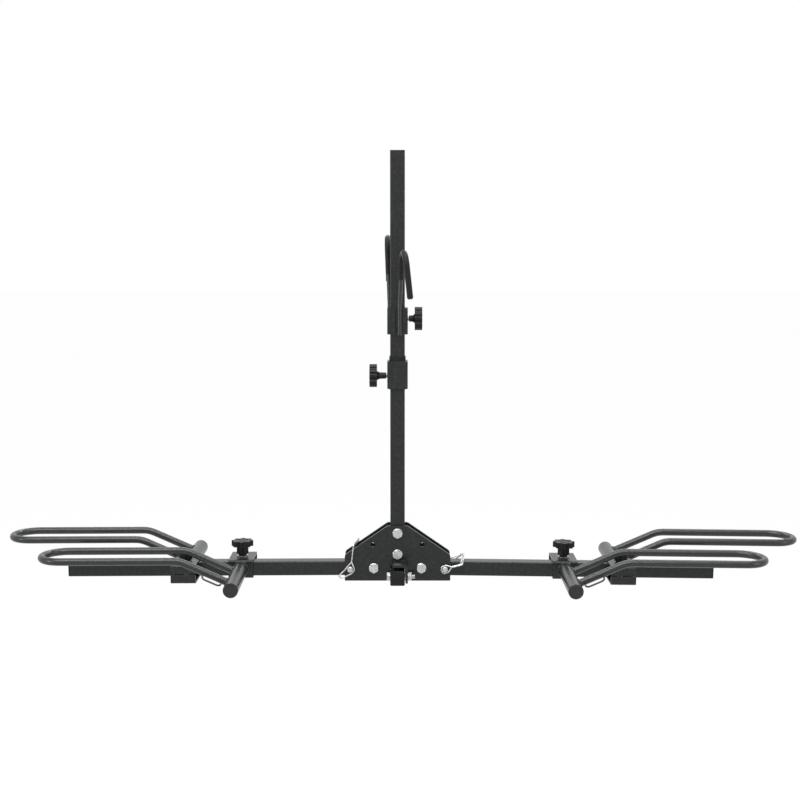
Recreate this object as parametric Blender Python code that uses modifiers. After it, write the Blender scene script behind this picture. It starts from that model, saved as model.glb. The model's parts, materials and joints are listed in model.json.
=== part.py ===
"""Platform hitch bike rack that carries two bicycles by their wheels.

A square bar slides into a vehicle's hitch receiver. Two steel plates stand over the bar and hold
the mast and the two folding arms. Each arm carries two wheel holders on sliding clamps, and the
mast carries two padded hooks that hold the bicycle frames.

Metres, +Z up. +Y points along the bar towards the vehicle. The origin is on the underside of the
bar, in line with the hitch pin's hole.
"""
import math

import bmesh
import bpy
from mathutils import Matrix, Quaternion, Vector

# Fits
FIT = 0.0003  # between pieces that touch
BOLT_FIT = 0.0003  # round a bolt or pin, on the radius
SLIDE_FIT = 0.000425  # between an arm or the mast and what slides on it

# Square and round stock
TUBE = 0.03175  # side of the square tubes and of the bar
TUBE_WALL = 0.0025
TUBE_CORNER = 0.003
BAR_WALL = 0.005
COLLAR_STEP = 0.00635  # how far the sleeve and hook collar stand out from the mast
COLLAR = TUBE + 2 * COLLAR_STEP  # side of the square sleeve and hook collar
SMALL_CORNER = 0.0005  # corner of a thick tube's bore and of a cap's plug
BOLT = 0.006  # radius of the frame's bolts
PIN = 0.005  # radius of the lock pins, knob studs and tilt bolt
PIN_CHAMFER = 0.002  # at a pin's tip
CAP = 0.003  # thickness of the plastic end caps
CAP_PLUG = 0.012  # how far a cap's plug reaches into its tube
CAP_CHAMFER = 0.0012

# Flange bolts and nuts, for a width of 1 across the flats
HEAD_HEIGHT = 0.42
NUT_HEIGHT = 0.48
FLANGE_RADIUS = 0.58
FLANGE = 0.002  # thickness in metres

# Hitch bar
PIN_TO_MAST = 0.360
BAR_AHEAD = 0.066  # from the mast's axis to the bar's capped front end
BAR_BEHIND = 0.060  # from the hitch pin to the bar's rear end
HITCH_HOLE = 0.00675  # radius
TILT_AHEAD = 0.045  # tilt bolt, ahead of the mast's axis
TILT_LOCK_BEHIND = 0.045  # tilt lock pin, behind the mast's axis
TILT_LOCK_HALF = 0.030  # from the lock pin's middle to its tip
TILT_BOLT_PAST = 0.0155  # bolt end outside the bracket's ear
TILT_FLATS = 0.017  # across the flats of the tilt bolt's head and nut
TILT_FLANGE = 0.009  # radius of the lock pin's flange
TILT_FLANGE_THICK = 0.003
TILT_STEM = 0.004  # radius between the flange and the cross handle
TILT_STEM_LENGTH = 0.014
TILT_HANDLE = 0.0045  # radius of the cross handle
TILT_HANDLE_HALF = 0.019

# Frame plates, measured from the mast's axis and the arms' axis
ARM_HEIGHT = 0.027  # arms' axis above the underside of the bar
PLATE = 0.006
PLATE_HALF_WIDTH = 0.116
PLATE_TOP_HALF = 0.022
PLATE_BOTTOM = -0.0265
PLATE_SHOULDER = 0.031
PLATE_TOP = 0.096
PLATE_CORNER = 0.008
PLATE_FOOT_CORNER = 0.002
BESIDE_BAR = 0.0005  # between the bar and the plates' notch
ABOVE_BAR = 0.0012
UPPER_BOLT_BELOW_TOP = 0.0166  # mast bolt below the plates' top edge
LOWER_BOLT_ABOVE_BRACKET = 0.01415  # mast bolt above the front bracket's top leg
FRAME_FLATS = 0.0185  # across the flats of the frame's bolt heads and nuts
BOLT_PAST_NUT = 0.003

# Tilt brackets
BRACKET = 0.005
BRACKET_BEND = 0.004
BRACKET_INNER_BEND = 0.001
EAR_CORNER = 0.002
EAR_GAP = 0.001425  # between the bar and an ear of a bracket
BRACKET_INNER = TUBE / 2 + EAR_GAP  # from the bar's middle to the inner face of an ear
BRACKET_ABOVE_BAR = 0.0087
BRACKET_DROP = 0.022
TILT_SLOT_FLARE = 0.0015  # how much wider the lock pin's slot is at its mouth, on each side
FRONT_BRACKET_LEFT = 0.011  # how far the front bracket's top leg reaches past the middle
BRACKET_REACH = 0.0425  # how far each bracket stands out from its plate

# Mast
MAST_ABOVE_BAR = 0.00925
SLEEVE_BOTTOM = 0.3976
SLEEVE_STEP = 0.022  # part of the sleeve that is welded round the lower mast
SLEEVE_LENGTH = 0.0597
SLEEVE_WALL = 0.0032  # where the bushing sits
BUSHING_LIP_STEP = 0.001875  # how far the bushing's lip stands out from the mast
BUSHING_LIP_HEIGHT = 0.010
SLEEVE_KNOB_UP = 0.0271  # above the sleeve's lower end
SLEEVE_KNOB_NECK = 0.0222  # length
MAST_KNOB_NECK = 0.0075  # radius of both mast knobs' necks
MAST_KNOB = (0.025, 0.0162, 8, 0.003)  # radius, height, number of flutes and their depth
UPPER_MAST_TOP = 0.904

# Hook collar and hooks
HOOK_COLLAR_BOTTOM = 0.5156
HOOK_COLLAR_LENGTH = 0.0569
HOOK_KNOB_UP = 0.0331  # above the hook collar's lower end
HOOK_KNOB_NECK = 0.0147  # length
HOOK_ROD = 0.005
HOOK_BEND = 0.028
GRIP_FIT = 0.0004  # between a hook's rod and its grip
GRIP_WALL = 0.0012
GRIP_SHORT = 0.002  # bare rod at the hook's tip
GRIP_STARTS = {"front": 0.633, "rear": 0.643}
# Each corner's place across, its distance out from the rod's welded foot, and its height
HOOKS = {
    "front": [
        (0.0045, 0, 0.514),
        (0.0045, 0, 0.575),
        (0.0095, 0.003475, 0.690),
        (0.0165, 0.061475, 0.690),
        (0.027, 0.064475, 0.594),
    ],
    "rear": [
        (-0.0165, 0, 0.514),
        (-0.0168, 0, 0.575),
        (-0.022, 0.003475, 0.722),
        (-0.0205, 0.060475, 0.722),
        (-0.0195, 0.060475, 0.625),
    ],
}
HOOK_FACINGS = {"front": -1, "rear": 1}

# Arms
PIVOT_X = 0.052
PIVOT_ABOVE_ARM = 0.002
LOCK_REACH = 0.052  # from an arm's pivot to its lock pin
ARM_INBOARD = 0.020  # tube inboard of its pivot
LOCK_HEAD = 0.0062  # radius
LOCK_HEAD_LENGTH = 0.010
LOCK_HEAD_CHAMFER = 0.0015
LOCK_TIP_PAST = 0.015  # pin tip behind the rear plate
LOCK_SLOT_SWEEP = 0.0045  # how far the pin moves inboard in its slot as the arm folds
BAIL = 0.0016  # radius of the bail wire
BAIL_BEND = 0.004
BAIL_STRAND = 0.00185  # half the spacing of the bail's two strands
BAIL_SHOULDER = 0.005  # how far the strands run straight beside the pin's head
LOOP_TAPER = 0.16  # the far loop's half width for its distance from the pin
BAIL_OVER_ARM = TUBE / 2 + BAIL + 0.001025  # height of the right bail where it crosses its arm
BAIL_RISE = 0.0045  # from there to the back of the arm
BAILS = {
    "left": {
        "loop_end": (-0.0225, -0.0175),
        "neck": (0.0032, 0.0165),
        "front_elbow": (0.0076, 0.0533),
        "over": (0.0095, 0.0545),
        "back_elbow": (0.0175, 0.056),
    },
    "right": {
        "loop_end": (-0.00764, -0.0027),
        "neck": (0.0156, 0.0055),
        "front_elbow": (0.0363, 0.0108),
        "over": (0.0385, BAIL_OVER_ARM),
        "back_elbow": (0.042, BAIL_OVER_ARM + BAIL_RISE),
    },
}

# Wheel holders, measured from the arm's axis
CLAMP_STRAP = 0.004
CLAMP_CORNER = 0.005
CLAMP_DEPTH = 0.066  # to the split face
CLAMP_WIDTH = 0.0545
CLAMP_SPLIT = 0.0015
STUD_BESIDE_ARM = 0.001125
WELD_NUT = 0.0076
WELD_NUT_FLATS = 0.017
STUD_PAST_NUT = 0.002
# Neck radius and length, then each body's radius, height, number of flutes and their depth
CLAMP_KNOBS = {
    "inner": (0.009, 0.0052, [(0.013, 0.0185, 6, 0.002), (0.024, 0.0125, 8, 0.003)]),
    "outer": (0.010, 0.0030, [(0.0145, 0.0185, 8, 0.002)]),
}
CROSS_TUBE_END = 0.199
CROSS_TUBE_WALL = 0.002
WELD_RING = 0.0026
HOOP_ROD = 0.008
HOOP_MIDDLE = 0.10475
HOOP_HALF_WIDTH = 0.04875
HOOP_HEIGHT = 0.0506
HOOP_RISE = 0.112  # length over which the rods climb
HOOP_BEND = 0.060
HOOP_REACH = 0.412
LOOP_WIRE = 0.002
LOOP_START = 0.024
LOOP_END = 0.062
LOOP_OUT = 0.025
LOOP_BEND = 0.008

# Each arm: which way it points, where it ends, how far it sags, and its clamps' places
SIDES = {
    "left": {"direction": -1, "reach": 0.725, "sag": 0.27, "inner": 0.3449, "outer": 0.4645},
    "right": {"direction": 1, "reach": 0.696, "sag": 0.72, "inner": 0.369, "outer": 0.490},
}

# Facets
BOLT_SIDES = 16
FLANGE_SIDES = 16
TUBE_SIDES = 24
ROD_RINGS = 3  # bevel resolution, 10 sides
HOOK_RINGS = 4  # bevel resolution, 12 sides
WIRE_RINGS = 1  # bevel resolution, 6 sides
TIP_STEPS = 12
SLOT_STEPS = 8
LOBE_STEPS = 4
OVERLAP = 0.001  # how far joined shapes run into each other
KNOB_RIM = 0.001  # chamfer round a knob
WELD = 0.000005  # points this close are one
SHARP = math.radians(35)  # edges sharper than this stay sharp
STRAIGHT = 0.01  # a corner that turns less than twice this, in radians, isn't rounded

BAR_MIDDLE = TUBE / 2
BAR_TOP = TUBE - ARM_HEIGHT  # above the arms' axis
BRACKET_TOP = BAR_TOP + BRACKET_ABOVE_BAR + BRACKET
MAST_BOLT_HEIGHTS = {
    "upper": PLATE_TOP - UPPER_BOLT_BELOW_TOP,
    "lower": BRACKET_TOP + LOWER_BOLT_ABOVE_BRACKET,
}
TILT_Y = -PIN_TO_MAST - TILT_AHEAD
TILT_LOCK_Y = TILT_LOCK_BEHIND - PIN_TO_MAST
PLATE_INNER = TUBE / 2 + FIT
PLATE_OUTER = PLATE_INNER + PLATE
CLAMP_INNER = TUBE / 2 + SLIDE_FIT
CLAMP_OUTER = CLAMP_INNER + CLAMP_STRAP
STUD_OFFSET = TUBE / 2 + PIN + STUD_BESIDE_ARM

X_AXIS = Vector((1, 0, 0))
Y_AXIS = Vector((0, 1, 0))
Z_AXIS = Vector((0, 0, 1))


def clear_scene():
    """Removes whatever the file holds."""
    for obj in list(bpy.data.objects):
        bpy.data.objects.remove(obj, do_unlink=True)


def new_collection(name):
    """A collection linked to the scene."""
    collection = bpy.data.collections.new(name)
    bpy.context.scene.collection.children.link(collection)
    return collection


def new_material(name, colour, roughness, metallic):
    """A Principled material."""
    material = bpy.data.materials.new(name)
    material.use_nodes = True
    shader = material.node_tree.nodes["Principled BSDF"]
    shader.inputs["Base Color"].default_value = (*colour, 1)
    shader.inputs["Roughness"].default_value = roughness
    shader.inputs["Metallic"].default_value = metallic
    return material


def new_empty(name, location, rotation=(0, 0, 0), parent=None):
    """An empty that stands on a joint's axis or at a group's middle."""
    empty = bpy.data.objects.new(name, None)
    empty.location = location
    empty.rotation_euler = rotation
    empty.parent = parent
    rack.objects.link(empty)
    return empty


def new_piece(name, mesh, material, parent):
    """One named piece of the rack, shaded smooth where its faces meet gently."""
    mesh.materials.clear()
    mesh.materials.append(material)
    mesh.shade_smooth()
    mesh.set_sharp_from_angle(angle=SHARP)
    piece = bpy.data.objects.new(name, mesh)
    piece.parent = parent
    rack.objects.link(piece)
    return piece


def shape(piece, mesh, operation):
    """Cuts a shape from a piece, or joins it on, in the piece's own space."""
    tool = bpy.data.objects.new(f"{piece.name}_tool_{len(piece.modifiers) + 1}", mesh)
    tool.parent = piece.parent
    tool.hide_render = True
    tool.display_type = "WIRE"
    cutters.objects.link(tool)
    modifier = piece.modifiers.new(tool.name, "BOOLEAN")
    modifier.operation = operation
    modifier.solver = "EXACT"
    modifier.object = tool


def cut(piece, mesh):
    """Cuts a shape from a piece."""
    shape(piece, mesh, "DIFFERENCE")


def join(piece, mesh):
    """Joins a shape onto a piece."""
    shape(piece, mesh, "UNION")


def placed(mesh, at, across, up):
    """Moves a mesh so that its X and Y axes point along across and up."""
    across = Vector(across)
    up = Vector(up)
    matrix = Matrix((across, up, across.cross(up))).transposed().to_4x4()
    matrix.translation = at
    mesh.transform(matrix)
    return mesh


def between(mesh, start, end):
    """Moves a mesh that is centred on its Z axis to the line from start to end."""
    start = Vector(start)
    end = Vector(end)
    turn = (end - start).to_track_quat("Z", "Y").to_matrix().to_4x4()
    mesh.transform(Matrix.Translation((start + end) / 2) @ turn)
    return mesh


def along(mesh, start, direction):
    """Moves a mesh so that its Z axis runs from start in a direction."""
    turn = Vector(direction).to_track_quat("Z", "Y").to_matrix().to_4x4()
    mesh.transform(Matrix.Translation(start) @ turn)
    return mesh


def cylinder(start, end, radius, sides=BOLT_SIDES):
    """A cylinder or prism from one point to another."""
    shell = bmesh.new()
    length = (Vector(end) - Vector(start)).length
    bmesh.ops.create_cone(shell, cap_ends=True, segments=sides, radius1=radius, radius2=radius, depth=length)
    mesh = bpy.data.meshes.new("cylinder")
    shell.to_mesh(mesh)
    shell.free()
    return between(mesh, start, end)


def curve_mesh(lines, dimensions, closed, **settings):
    """The mesh of a curve, with its caps welded on and its faces turned out."""
    curve = bpy.data.curves.new("guide", "CURVE")
    curve.dimensions = dimensions
    curve.fill_mode = "BOTH" if dimensions == "2D" else "FULL"
    curve.use_fill_caps = not closed
    for name, value in settings.items():
        setattr(curve, name, value)
    for line in lines:
        spline = curve.splines.new("POLY")
        spline.points.add(len(line) - 1)
        spline.use_cyclic_u = closed
        for point, place in zip(spline.points, line):
            point.co = (*place, 1)
    guide = bpy.data.objects.new("guide", curve)
    bpy.context.scene.collection.objects.link(guide)
    bpy.context.view_layer.update()
    mesh = bpy.data.meshes.new_from_object(guide.evaluated_get(bpy.context.evaluated_depsgraph_get()))
    bpy.data.objects.remove(guide)
    shell = bmesh.new()
    shell.from_mesh(mesh)
    bmesh.ops.remove_doubles(shell, verts=shell.verts, dist=WELD)
    bmesh.ops.recalc_face_normals(shell, faces=shell.faces)
    shell.to_mesh(mesh)
    shell.free()
    return mesh


def slab(outlines, thickness):
    """A flat outline, with any holes in it, given a thickness."""
    return curve_mesh(outlines, "2D", True, extrude=thickness / 2)


def rod(path, radius, resolution=ROD_RINGS):
    """A round rod along a path, with flat ends."""
    return curve_mesh([path], "3D", False, bevel_depth=radius, bevel_resolution=resolution)


def turned_mesh(profile, sides=BOLT_SIDES):
    """A shape turned about Z from a profile of (radius, height), top to bottom on its outer side."""
    mesh = bpy.data.meshes.new("profile")
    edges = [(n, n + 1) for n in range(len(profile) - 1)]
    if profile[0][0] > 0:
        edges.append((len(profile) - 1, 0))
    mesh.from_pydata([(radius, 0, height) for radius, height in profile], edges, [])
    guide = bpy.data.objects.new("profile", mesh)
    bpy.context.scene.collection.objects.link(guide)
    screw = guide.modifiers.new("turn", "SCREW")
    screw.steps = sides
    screw.render_steps = sides
    screw.use_merge_vertices = True
    screw.merge_threshold = WELD
    bpy.context.view_layer.update()
    turned = bpy.data.meshes.new_from_object(guide.evaluated_get(bpy.context.evaluated_depsgraph_get()))
    bpy.data.objects.remove(guide)
    return turned


def circle(radius, centre=(0, 0), sides=BOLT_SIDES):
    """Points of a round hole in an outline."""
    turn = 2 * math.pi / sides
    return [
        (centre[0] + radius * math.cos(turn * n), centre[1] + radius * math.sin(turn * n), 0)
        for n in range(sides)
    ]


def open_slot(centre, low, before, after):
    """A slot for a lock pin that is open below, wider at its mouth before and after the pin."""
    space = PIN + BOLT_FIT
    outline = [(centre[0] - space - before, low, 0), (centre[0] + space + after, low, 0)]
    for n in range(SLOT_STEPS + 1):
        angle = math.pi * n / SLOT_STEPS
        outline.append((centre[0] + space * math.cos(angle), centre[1] + space * math.sin(angle), 0))
    return outline


def bend(before, corner, after, radius, steps):
    """Points of the arc that rounds a corner between two straight runs."""
    to_before = (before - corner).normalized()
    to_after = (after - corner).normalized()
    half = to_before.angle(to_after) / 2
    if half > math.pi / 2 - STRAIGHT:
        return [corner]
    centre = corner + (to_before + to_after).normalized() * radius / math.sin(half)
    reach = radius / math.tan(half)
    first = corner + to_before * reach - centre
    last = corner + to_after * reach - centre
    turn = Quaternion(first.cross(last), math.pi - 2 * half)
    steady = Quaternion()
    return [centre + steady.slerp(turn, n / steps) @ first for n in range(steps + 1)]


def bent_path(points, radius, steps=4):
    """A path whose inner corners are bent to one radius."""
    points = [Vector(point) for point in points]
    path = [points[0]]
    for before, corner, after in zip(points, points[1:], points[2:]):
        path.extend(bend(before, corner, after, radius, steps))
    path.append(points[-1])
    return path


def rounded(points, radii, steps=2):
    """A closed outline whose corners are rounded where their radius isn't 0."""
    points = [Vector((*point, 0)) for point in points]
    outline = []
    for n, corner in enumerate(points):
        radius = radii[n] if isinstance(radii, (list, tuple)) else radii
        after = points[(n + 1) % len(points)]
        outline.extend(bend(points[n - 1], corner, after, radius, steps) if radius else [corner])
    return outline


def square(side, corner):
    """A rounded square outline."""
    half = side / 2
    return rounded([(-half, -half), (half, -half), (half, half), (-half, half)], corner)


def square_bar(start, end, side, corner, hollow=0):
    """Square stock from one point to another along an axis, hollow where it has a wall."""
    start = Vector(start)
    end = Vector(end)
    outlines = [square(side, corner)]
    if hollow:
        outlines.append(square(side - 2 * hollow, max(corner - hollow, SMALL_CORNER)))
    across = X_AXIS if start.x == end.x else Y_AXIS
    up = Z_AXIS if start.z == end.z else Y_AXIS
    return placed(slab(outlines, (end - start).length), (start + end) / 2, across, up)


def square_cap(name, parent, at, outward, wall):
    """A plastic cap for the end of a square tube: a flange over the end and a plug inside."""
    at = Vector(at)
    outward = Vector(outward)
    outer = at + outward * CAP
    cap = new_piece(name, square_bar(at, outer, TUBE, TUBE_CORNER), plastic, parent)
    plug = TUBE - 2 * wall - 2 * FIT
    join(cap, square_bar(at - outward * CAP_PLUG, at + outward * OVERLAP, plug, SMALL_CORNER))
    return cap


def flange_bolt(name, parent, seat, outward, length, radius, across_flats):
    """A hex flange bolt whose shaft runs inward from its seat."""
    seat = Vector(seat)
    outward = Vector(outward)
    head = across_flats * HEAD_HEIGHT
    bolt = new_piece(name, cylinder(seat - outward * length, seat + outward * OVERLAP, radius), zinc, parent)
    join(bolt, cylinder(seat, seat + outward * FLANGE, across_flats * FLANGE_RADIUS, FLANGE_SIDES))
    hexagon = cylinder(seat + outward * OVERLAP, seat + outward * head, across_flats / math.sqrt(3), 6)
    join(bolt, hexagon)
    return bolt


def flange_nut(name, parent, seat, outward, radius, across_flats):
    """A hex flange nut round a bolt's end."""
    seat = Vector(seat)
    outward = Vector(outward)
    thickness = across_flats * NUT_HEIGHT
    hexagon = cylinder(seat + outward * OVERLAP, seat + outward * thickness, across_flats / math.sqrt(3), 6)
    nut = new_piece(name, hexagon, zinc, parent)
    join(nut, cylinder(seat, seat + outward * FLANGE, across_flats * FLANGE_RADIUS, FLANGE_SIDES))
    cut(nut, cylinder(seat - outward * OVERLAP, seat + outward * 2 * thickness, radius + BOLT_FIT))
    return nut


def fluted(bottom, top, radius, lobes, depth):
    """A knob's fluted body, along Z, with chamfered rims."""
    count = lobes * LOBE_STEPS
    outline = []
    for n in range(count):
        angle = 2 * math.pi * n / count
        reach = radius - depth * (0.5 + 0.5 * math.cos(lobes * angle)) ** 2
        outline.append((reach * math.cos(angle), reach * math.sin(angle), 0))
    rim = KNOB_RIM
    flat = (top - bottom) / 2 - rim
    mesh = curve_mesh([outline], "2D", True, extrude=flat, bevel_depth=rim, bevel_resolution=0, offset=-rim)
    mesh.transform(Matrix.Translation((0, 0, (bottom + top) / 2)))
    return mesh


def knob(name, parent, stud, neck_radius, neck_height, bodies):
    """A clamping knob along its parent's Z: a steel stud, a neck and fluted bodies above it."""
    piece = new_piece(name, cylinder((0, 0, -stud), (0, 0, neck_height / 2), PIN), plastic, parent)
    join(piece, cylinder((0, 0, 0), (0, 0, neck_height + OVERLAP), neck_radius))
    base = neck_height
    for radius, height, lobes, depth in bodies:
        join(piece, fluted(base, base + height, radius, lobes, depth))
        base += height - OVERLAP
    return piece


def make_hitch_bar():
    """The bar, its front cap, and the bolt and lock pin that hold the frame to it."""
    front = -PIN_TO_MAST - BAR_AHEAD + CAP
    bar = new_piece(
        "hitch_bar",
        square_bar((0, front + FIT, BAR_MIDDLE), (0, BAR_BEHIND, BAR_MIDDLE), TUBE, TUBE_CORNER, BAR_WALL),
        powder_black,
        None,
    )
    for place, radius in ((0, HITCH_HOLE), (TILT_Y, PIN + BOLT_FIT), (TILT_LOCK_Y, PIN + BOLT_FIT)):
        cut(bar, cylinder((-TUBE, place, BAR_MIDDLE), (TUBE, place, BAR_MIDDLE), radius))
    square_cap("hitch_bar_front_cap", None, (0, front, BAR_MIDDLE), -Y_AXIS, BAR_WALL)

    seat = Vector((-TUBE / 2 - FIT, TILT_Y, BAR_MIDDLE))
    end = BRACKET_INNER + BRACKET + TILT_BOLT_PAST
    flange_bolt("tilt_pivot_bolt", None, seat, -X_AXIS, end - seat.x, PIN, TILT_FLATS)
    seat = Vector((BRACKET_INNER + BRACKET + FIT, TILT_Y, BAR_MIDDLE))
    flange_nut("tilt_pivot_nut", None, seat, X_AXIS, PIN, TILT_FLATS)


def make_tilt_lock_pin():
    """The pin that locks the frame upright, drawn out to the right by its cross handle."""
    axis = new_empty("tilt_lock_slide", (0, TILT_LOCK_Y, BAR_MIDDLE))
    tip = -TILT_LOCK_HALF
    shoulder = BRACKET_INNER + BRACKET + FIT
    flange = shoulder + TILT_FLANGE_THICK
    handle = flange + TILT_STEM_LENGTH
    profile = [
        (0, handle),
        (TILT_STEM, handle),
        (TILT_STEM, flange),
        (TILT_FLANGE, flange),
        (TILT_FLANGE, shoulder),
        (PIN, shoulder),
        (PIN, tip + PIN_CHAMFER),
        (PIN - PIN_CHAMFER, tip),
        (0, tip),
    ]
    pin = new_piece("tilt_lock_pin", along(turned_mesh(profile), (0, 0, 0), X_AXIS), zinc, axis)
    join(pin, cylinder((handle, 0, -TILT_HANDLE_HALF), (handle, 0, TILT_HANDLE_HALF), TILT_HANDLE))


def make_plates():
    """The two steel plates that hold the mast and the arms between them."""
    notch = TUBE / 2 + BESIDE_BAR
    notch_top = BAR_TOP + ABOVE_BAR
    corners = [
        (-PLATE_HALF_WIDTH, PLATE_BOTTOM),
        (-notch, PLATE_BOTTOM),
        (-notch, notch_top),
        (notch, notch_top),
        (notch, PLATE_BOTTOM),
        (PLATE_HALF_WIDTH, PLATE_BOTTOM),
        (PLATE_HALF_WIDTH, PLATE_SHOULDER),
        (PLATE_TOP_HALF, PLATE_TOP),
        (-PLATE_TOP_HALF, PLATE_TOP),
        (-PLATE_HALF_WIDTH, PLATE_SHOULDER),
    ]
    feet = [PLATE_FOOT_CORNER, 0, 0, 0, 0, PLATE_FOOT_CORNER]
    outlines = [rounded(corners, feet + [PLATE_CORNER] * 4)]
    for height in MAST_BOLT_HEIGHTS.values():
        outlines.append(circle(BOLT + BOLT_FIT, (0, height)))
    for direction in (-1, 1):
        outlines.append(circle(BOLT + BOLT_FIT, (direction * PIVOT_X, PIVOT_ABOVE_ARM)))
        outlines.append(circle(PIN + BOLT_FIT, (direction * (PIVOT_X + LOCK_REACH), 0)))
        storage = (direction * (PIVOT_X + PIVOT_ABOVE_ARM), PIVOT_ABOVE_ARM + LOCK_REACH)
        outlines.append(circle(PIN + BOLT_FIT, storage))
    for name, side in (("front", -1), ("rear", 1)):
        middle = (0, side * (PLATE_INNER + PLATE / 2), 0)
        mesh = placed(slab(outlines, PLATE), middle, X_AXIS, Z_AXIS)
        new_piece(f"{name}_plate", mesh, powder_black, frame)


def make_brackets():
    """The folded brackets on the plates, through which the frame tilts and locks on the bar."""
    web_low = BRACKET_TOP - BRACKET
    ear = BRACKET_INNER + BRACKET
    bolt_height = BAR_MIDDLE - ARM_HEIGHT
    corners = [
        (-FRONT_BRACKET_LEFT, web_low),
        (BRACKET_INNER, web_low),
        (BRACKET_INNER, -BRACKET_DROP),
        (ear, -BRACKET_DROP),
        (ear, BRACKET_TOP),
        (-FRONT_BRACKET_LEFT, BRACKET_TOP),
    ]
    outline = rounded(corners, [0, BRACKET_INNER_BEND, EAR_CORNER, EAR_CORNER, BRACKET_BEND, 0])
    middle = (0, -(PLATE_OUTER + FIT + BRACKET_REACH / 2), 0)
    mesh = placed(slab([outline], BRACKET_REACH), middle, X_AXIS, Z_AXIS)
    front = new_piece("front_hitch_bracket", mesh, powder_black, frame)
    hole = (-TILT_AHEAD, bolt_height)
    cut(front, cylinder((0, *hole), (2 * ear, *hole), PIN + BOLT_FIT))

    corners = [
        (-ear, -BRACKET_DROP),
        (-BRACKET_INNER, -BRACKET_DROP),
        (-BRACKET_INNER, web_low),
        (BRACKET_INNER, web_low),
        (BRACKET_INNER, -BRACKET_DROP),
        (ear, -BRACKET_DROP),
        (ear, BRACKET_TOP),
        (-ear, BRACKET_TOP),
    ]
    inner_bends = [BRACKET_INNER_BEND, BRACKET_INNER_BEND]
    outline = rounded(corners, [0, 0] + inner_bends + [0, 0] + [BRACKET_BEND, BRACKET_BEND])
    middle = (0, PLATE_OUTER + FIT + BRACKET_REACH / 2, 0)
    mesh = placed(slab([outline], BRACKET_REACH), middle, X_AXIS, Z_AXIS)
    rear = new_piece("rear_hitch_bracket", mesh, powder_black, frame)
    low = -BRACKET_DROP - OVERLAP
    slot = open_slot((TILT_LOCK_BEHIND, bolt_height), low, TILT_SLOT_FLARE, TILT_SLOT_FLARE)
    cut(rear, placed(slab([slot], 4 * ear), (0, 0, 0), Y_AXIS, Z_AXIS))


def make_lower_mast():
    """The short square tube between the plates, its two bolts, and the sleeve welded to its top."""
    top = SLEEVE_BOTTOM + SLEEVE_STEP
    tube = square_bar((0, 0, BAR_TOP + MAST_ABOVE_BAR), (0, 0, top), TUBE, TUBE_CORNER, TUBE_WALL)
    mast = new_piece("lower_mast", tube, powder_black, frame)
    reach = PLATE_OUTER + FIT
    for name, height in MAST_BOLT_HEIGHTS.items():
        cut(mast, cylinder((0, -TUBE, height), (0, TUBE, height), BOLT + BOLT_FIT))
        make_cross_bolt(f"mast_bolt_{name}", f"mast_nut_{name}", 0, height, reach)
    for name, side in SIDES.items():
        place = side["direction"] * PIVOT_X
        make_cross_bolt(f"{name}_pivot_bolt", f"{name}_pivot_nut", place, PIVOT_ABOVE_ARM, reach)

    sleeve_top = SLEEVE_BOTTOM + SLEEVE_LENGTH
    sleeve = new_piece(
        "mast_sleeve",
        square_bar((0, 0, SLEEVE_BOTTOM), (0, 0, sleeve_top), COLLAR, TUBE_CORNER),
        powder_black,
        frame,
    )
    below = SLEEVE_BOTTOM - OVERLAP
    above = sleeve_top + OVERLAP
    bushing_space = COLLAR - 2 * SLEEVE_WALL
    cut(sleeve, square_bar((0, 0, below), (0, 0, top + OVERLAP), TUBE + 2 * FIT, TUBE_CORNER))
    cut(sleeve, square_bar((0, 0, top), (0, 0, above), bushing_space, TUBE_CORNER))
    knob_height = SLEEVE_BOTTOM + SLEEVE_KNOB_UP
    cut(sleeve, cylinder((-COLLAR, 0, knob_height), (0, 0, knob_height), PIN + BOLT_FIT))

    lip_top = sleeve_top + BUSHING_LIP_HEIGHT
    foot = top + FIT
    inner = square_bar((0, 0, foot - OVERLAP), (0, 0, lip_top + OVERLAP), TUBE + 2 * FIT, TUBE_CORNER)
    bushing = new_piece(
        "mast_sleeve_bushing",
        square_bar((0, 0, foot), (0, 0, sleeve_top), bushing_space - 2 * FIT, TUBE_CORNER),
        plastic,
        frame,
    )
    lip = TUBE + 2 * BUSHING_LIP_STEP
    join(bushing, square_bar((0, 0, sleeve_top - OVERLAP), (0, 0, lip_top), lip, TUBE_CORNER))
    cut(bushing, inner)
    cut(bushing, cylinder((-COLLAR, 0, knob_height), (0, 0, knob_height), PIN + BOLT_FIT))

    axis = new_empty(
        "mast_sleeve_knob_axis", (-COLLAR / 2 - FIT, 0, knob_height), (0, -math.pi / 2, 0), frame
    )
    knob("mast_sleeve_knob", axis, (COLLAR - TUBE) / 2, MAST_KNOB_NECK, SLEEVE_KNOB_NECK, [MAST_KNOB])


def make_cross_bolt(bolt_name, nut_name, x, z, reach):
    """A bolt through both plates with its nut behind."""
    length = 2 * reach + FRAME_FLATS * NUT_HEIGHT + BOLT_PAST_NUT
    flange_bolt(bolt_name, frame, (x, -reach, z), -Y_AXIS, length, BOLT, FRAME_FLATS)
    flange_nut(nut_name, frame, (x, reach, z), Y_AXIS, BOLT, FRAME_FLATS)


def make_upper_mast():
    """The upper square tube with its cap, which stands on the lower mast inside the sleeve."""
    foot = SLEEVE_BOTTOM + SLEEVE_STEP + FIT
    tube = square_bar((0, 0, foot), (0, 0, UPPER_MAST_TOP), TUBE, TUBE_CORNER, TUBE_WALL)
    new_piece("upper_mast", tube, powder_black, frame)
    square_cap("upper_mast_cap", frame, (0, 0, UPPER_MAST_TOP + FIT), Z_AXIS, TUBE_WALL)


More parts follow.
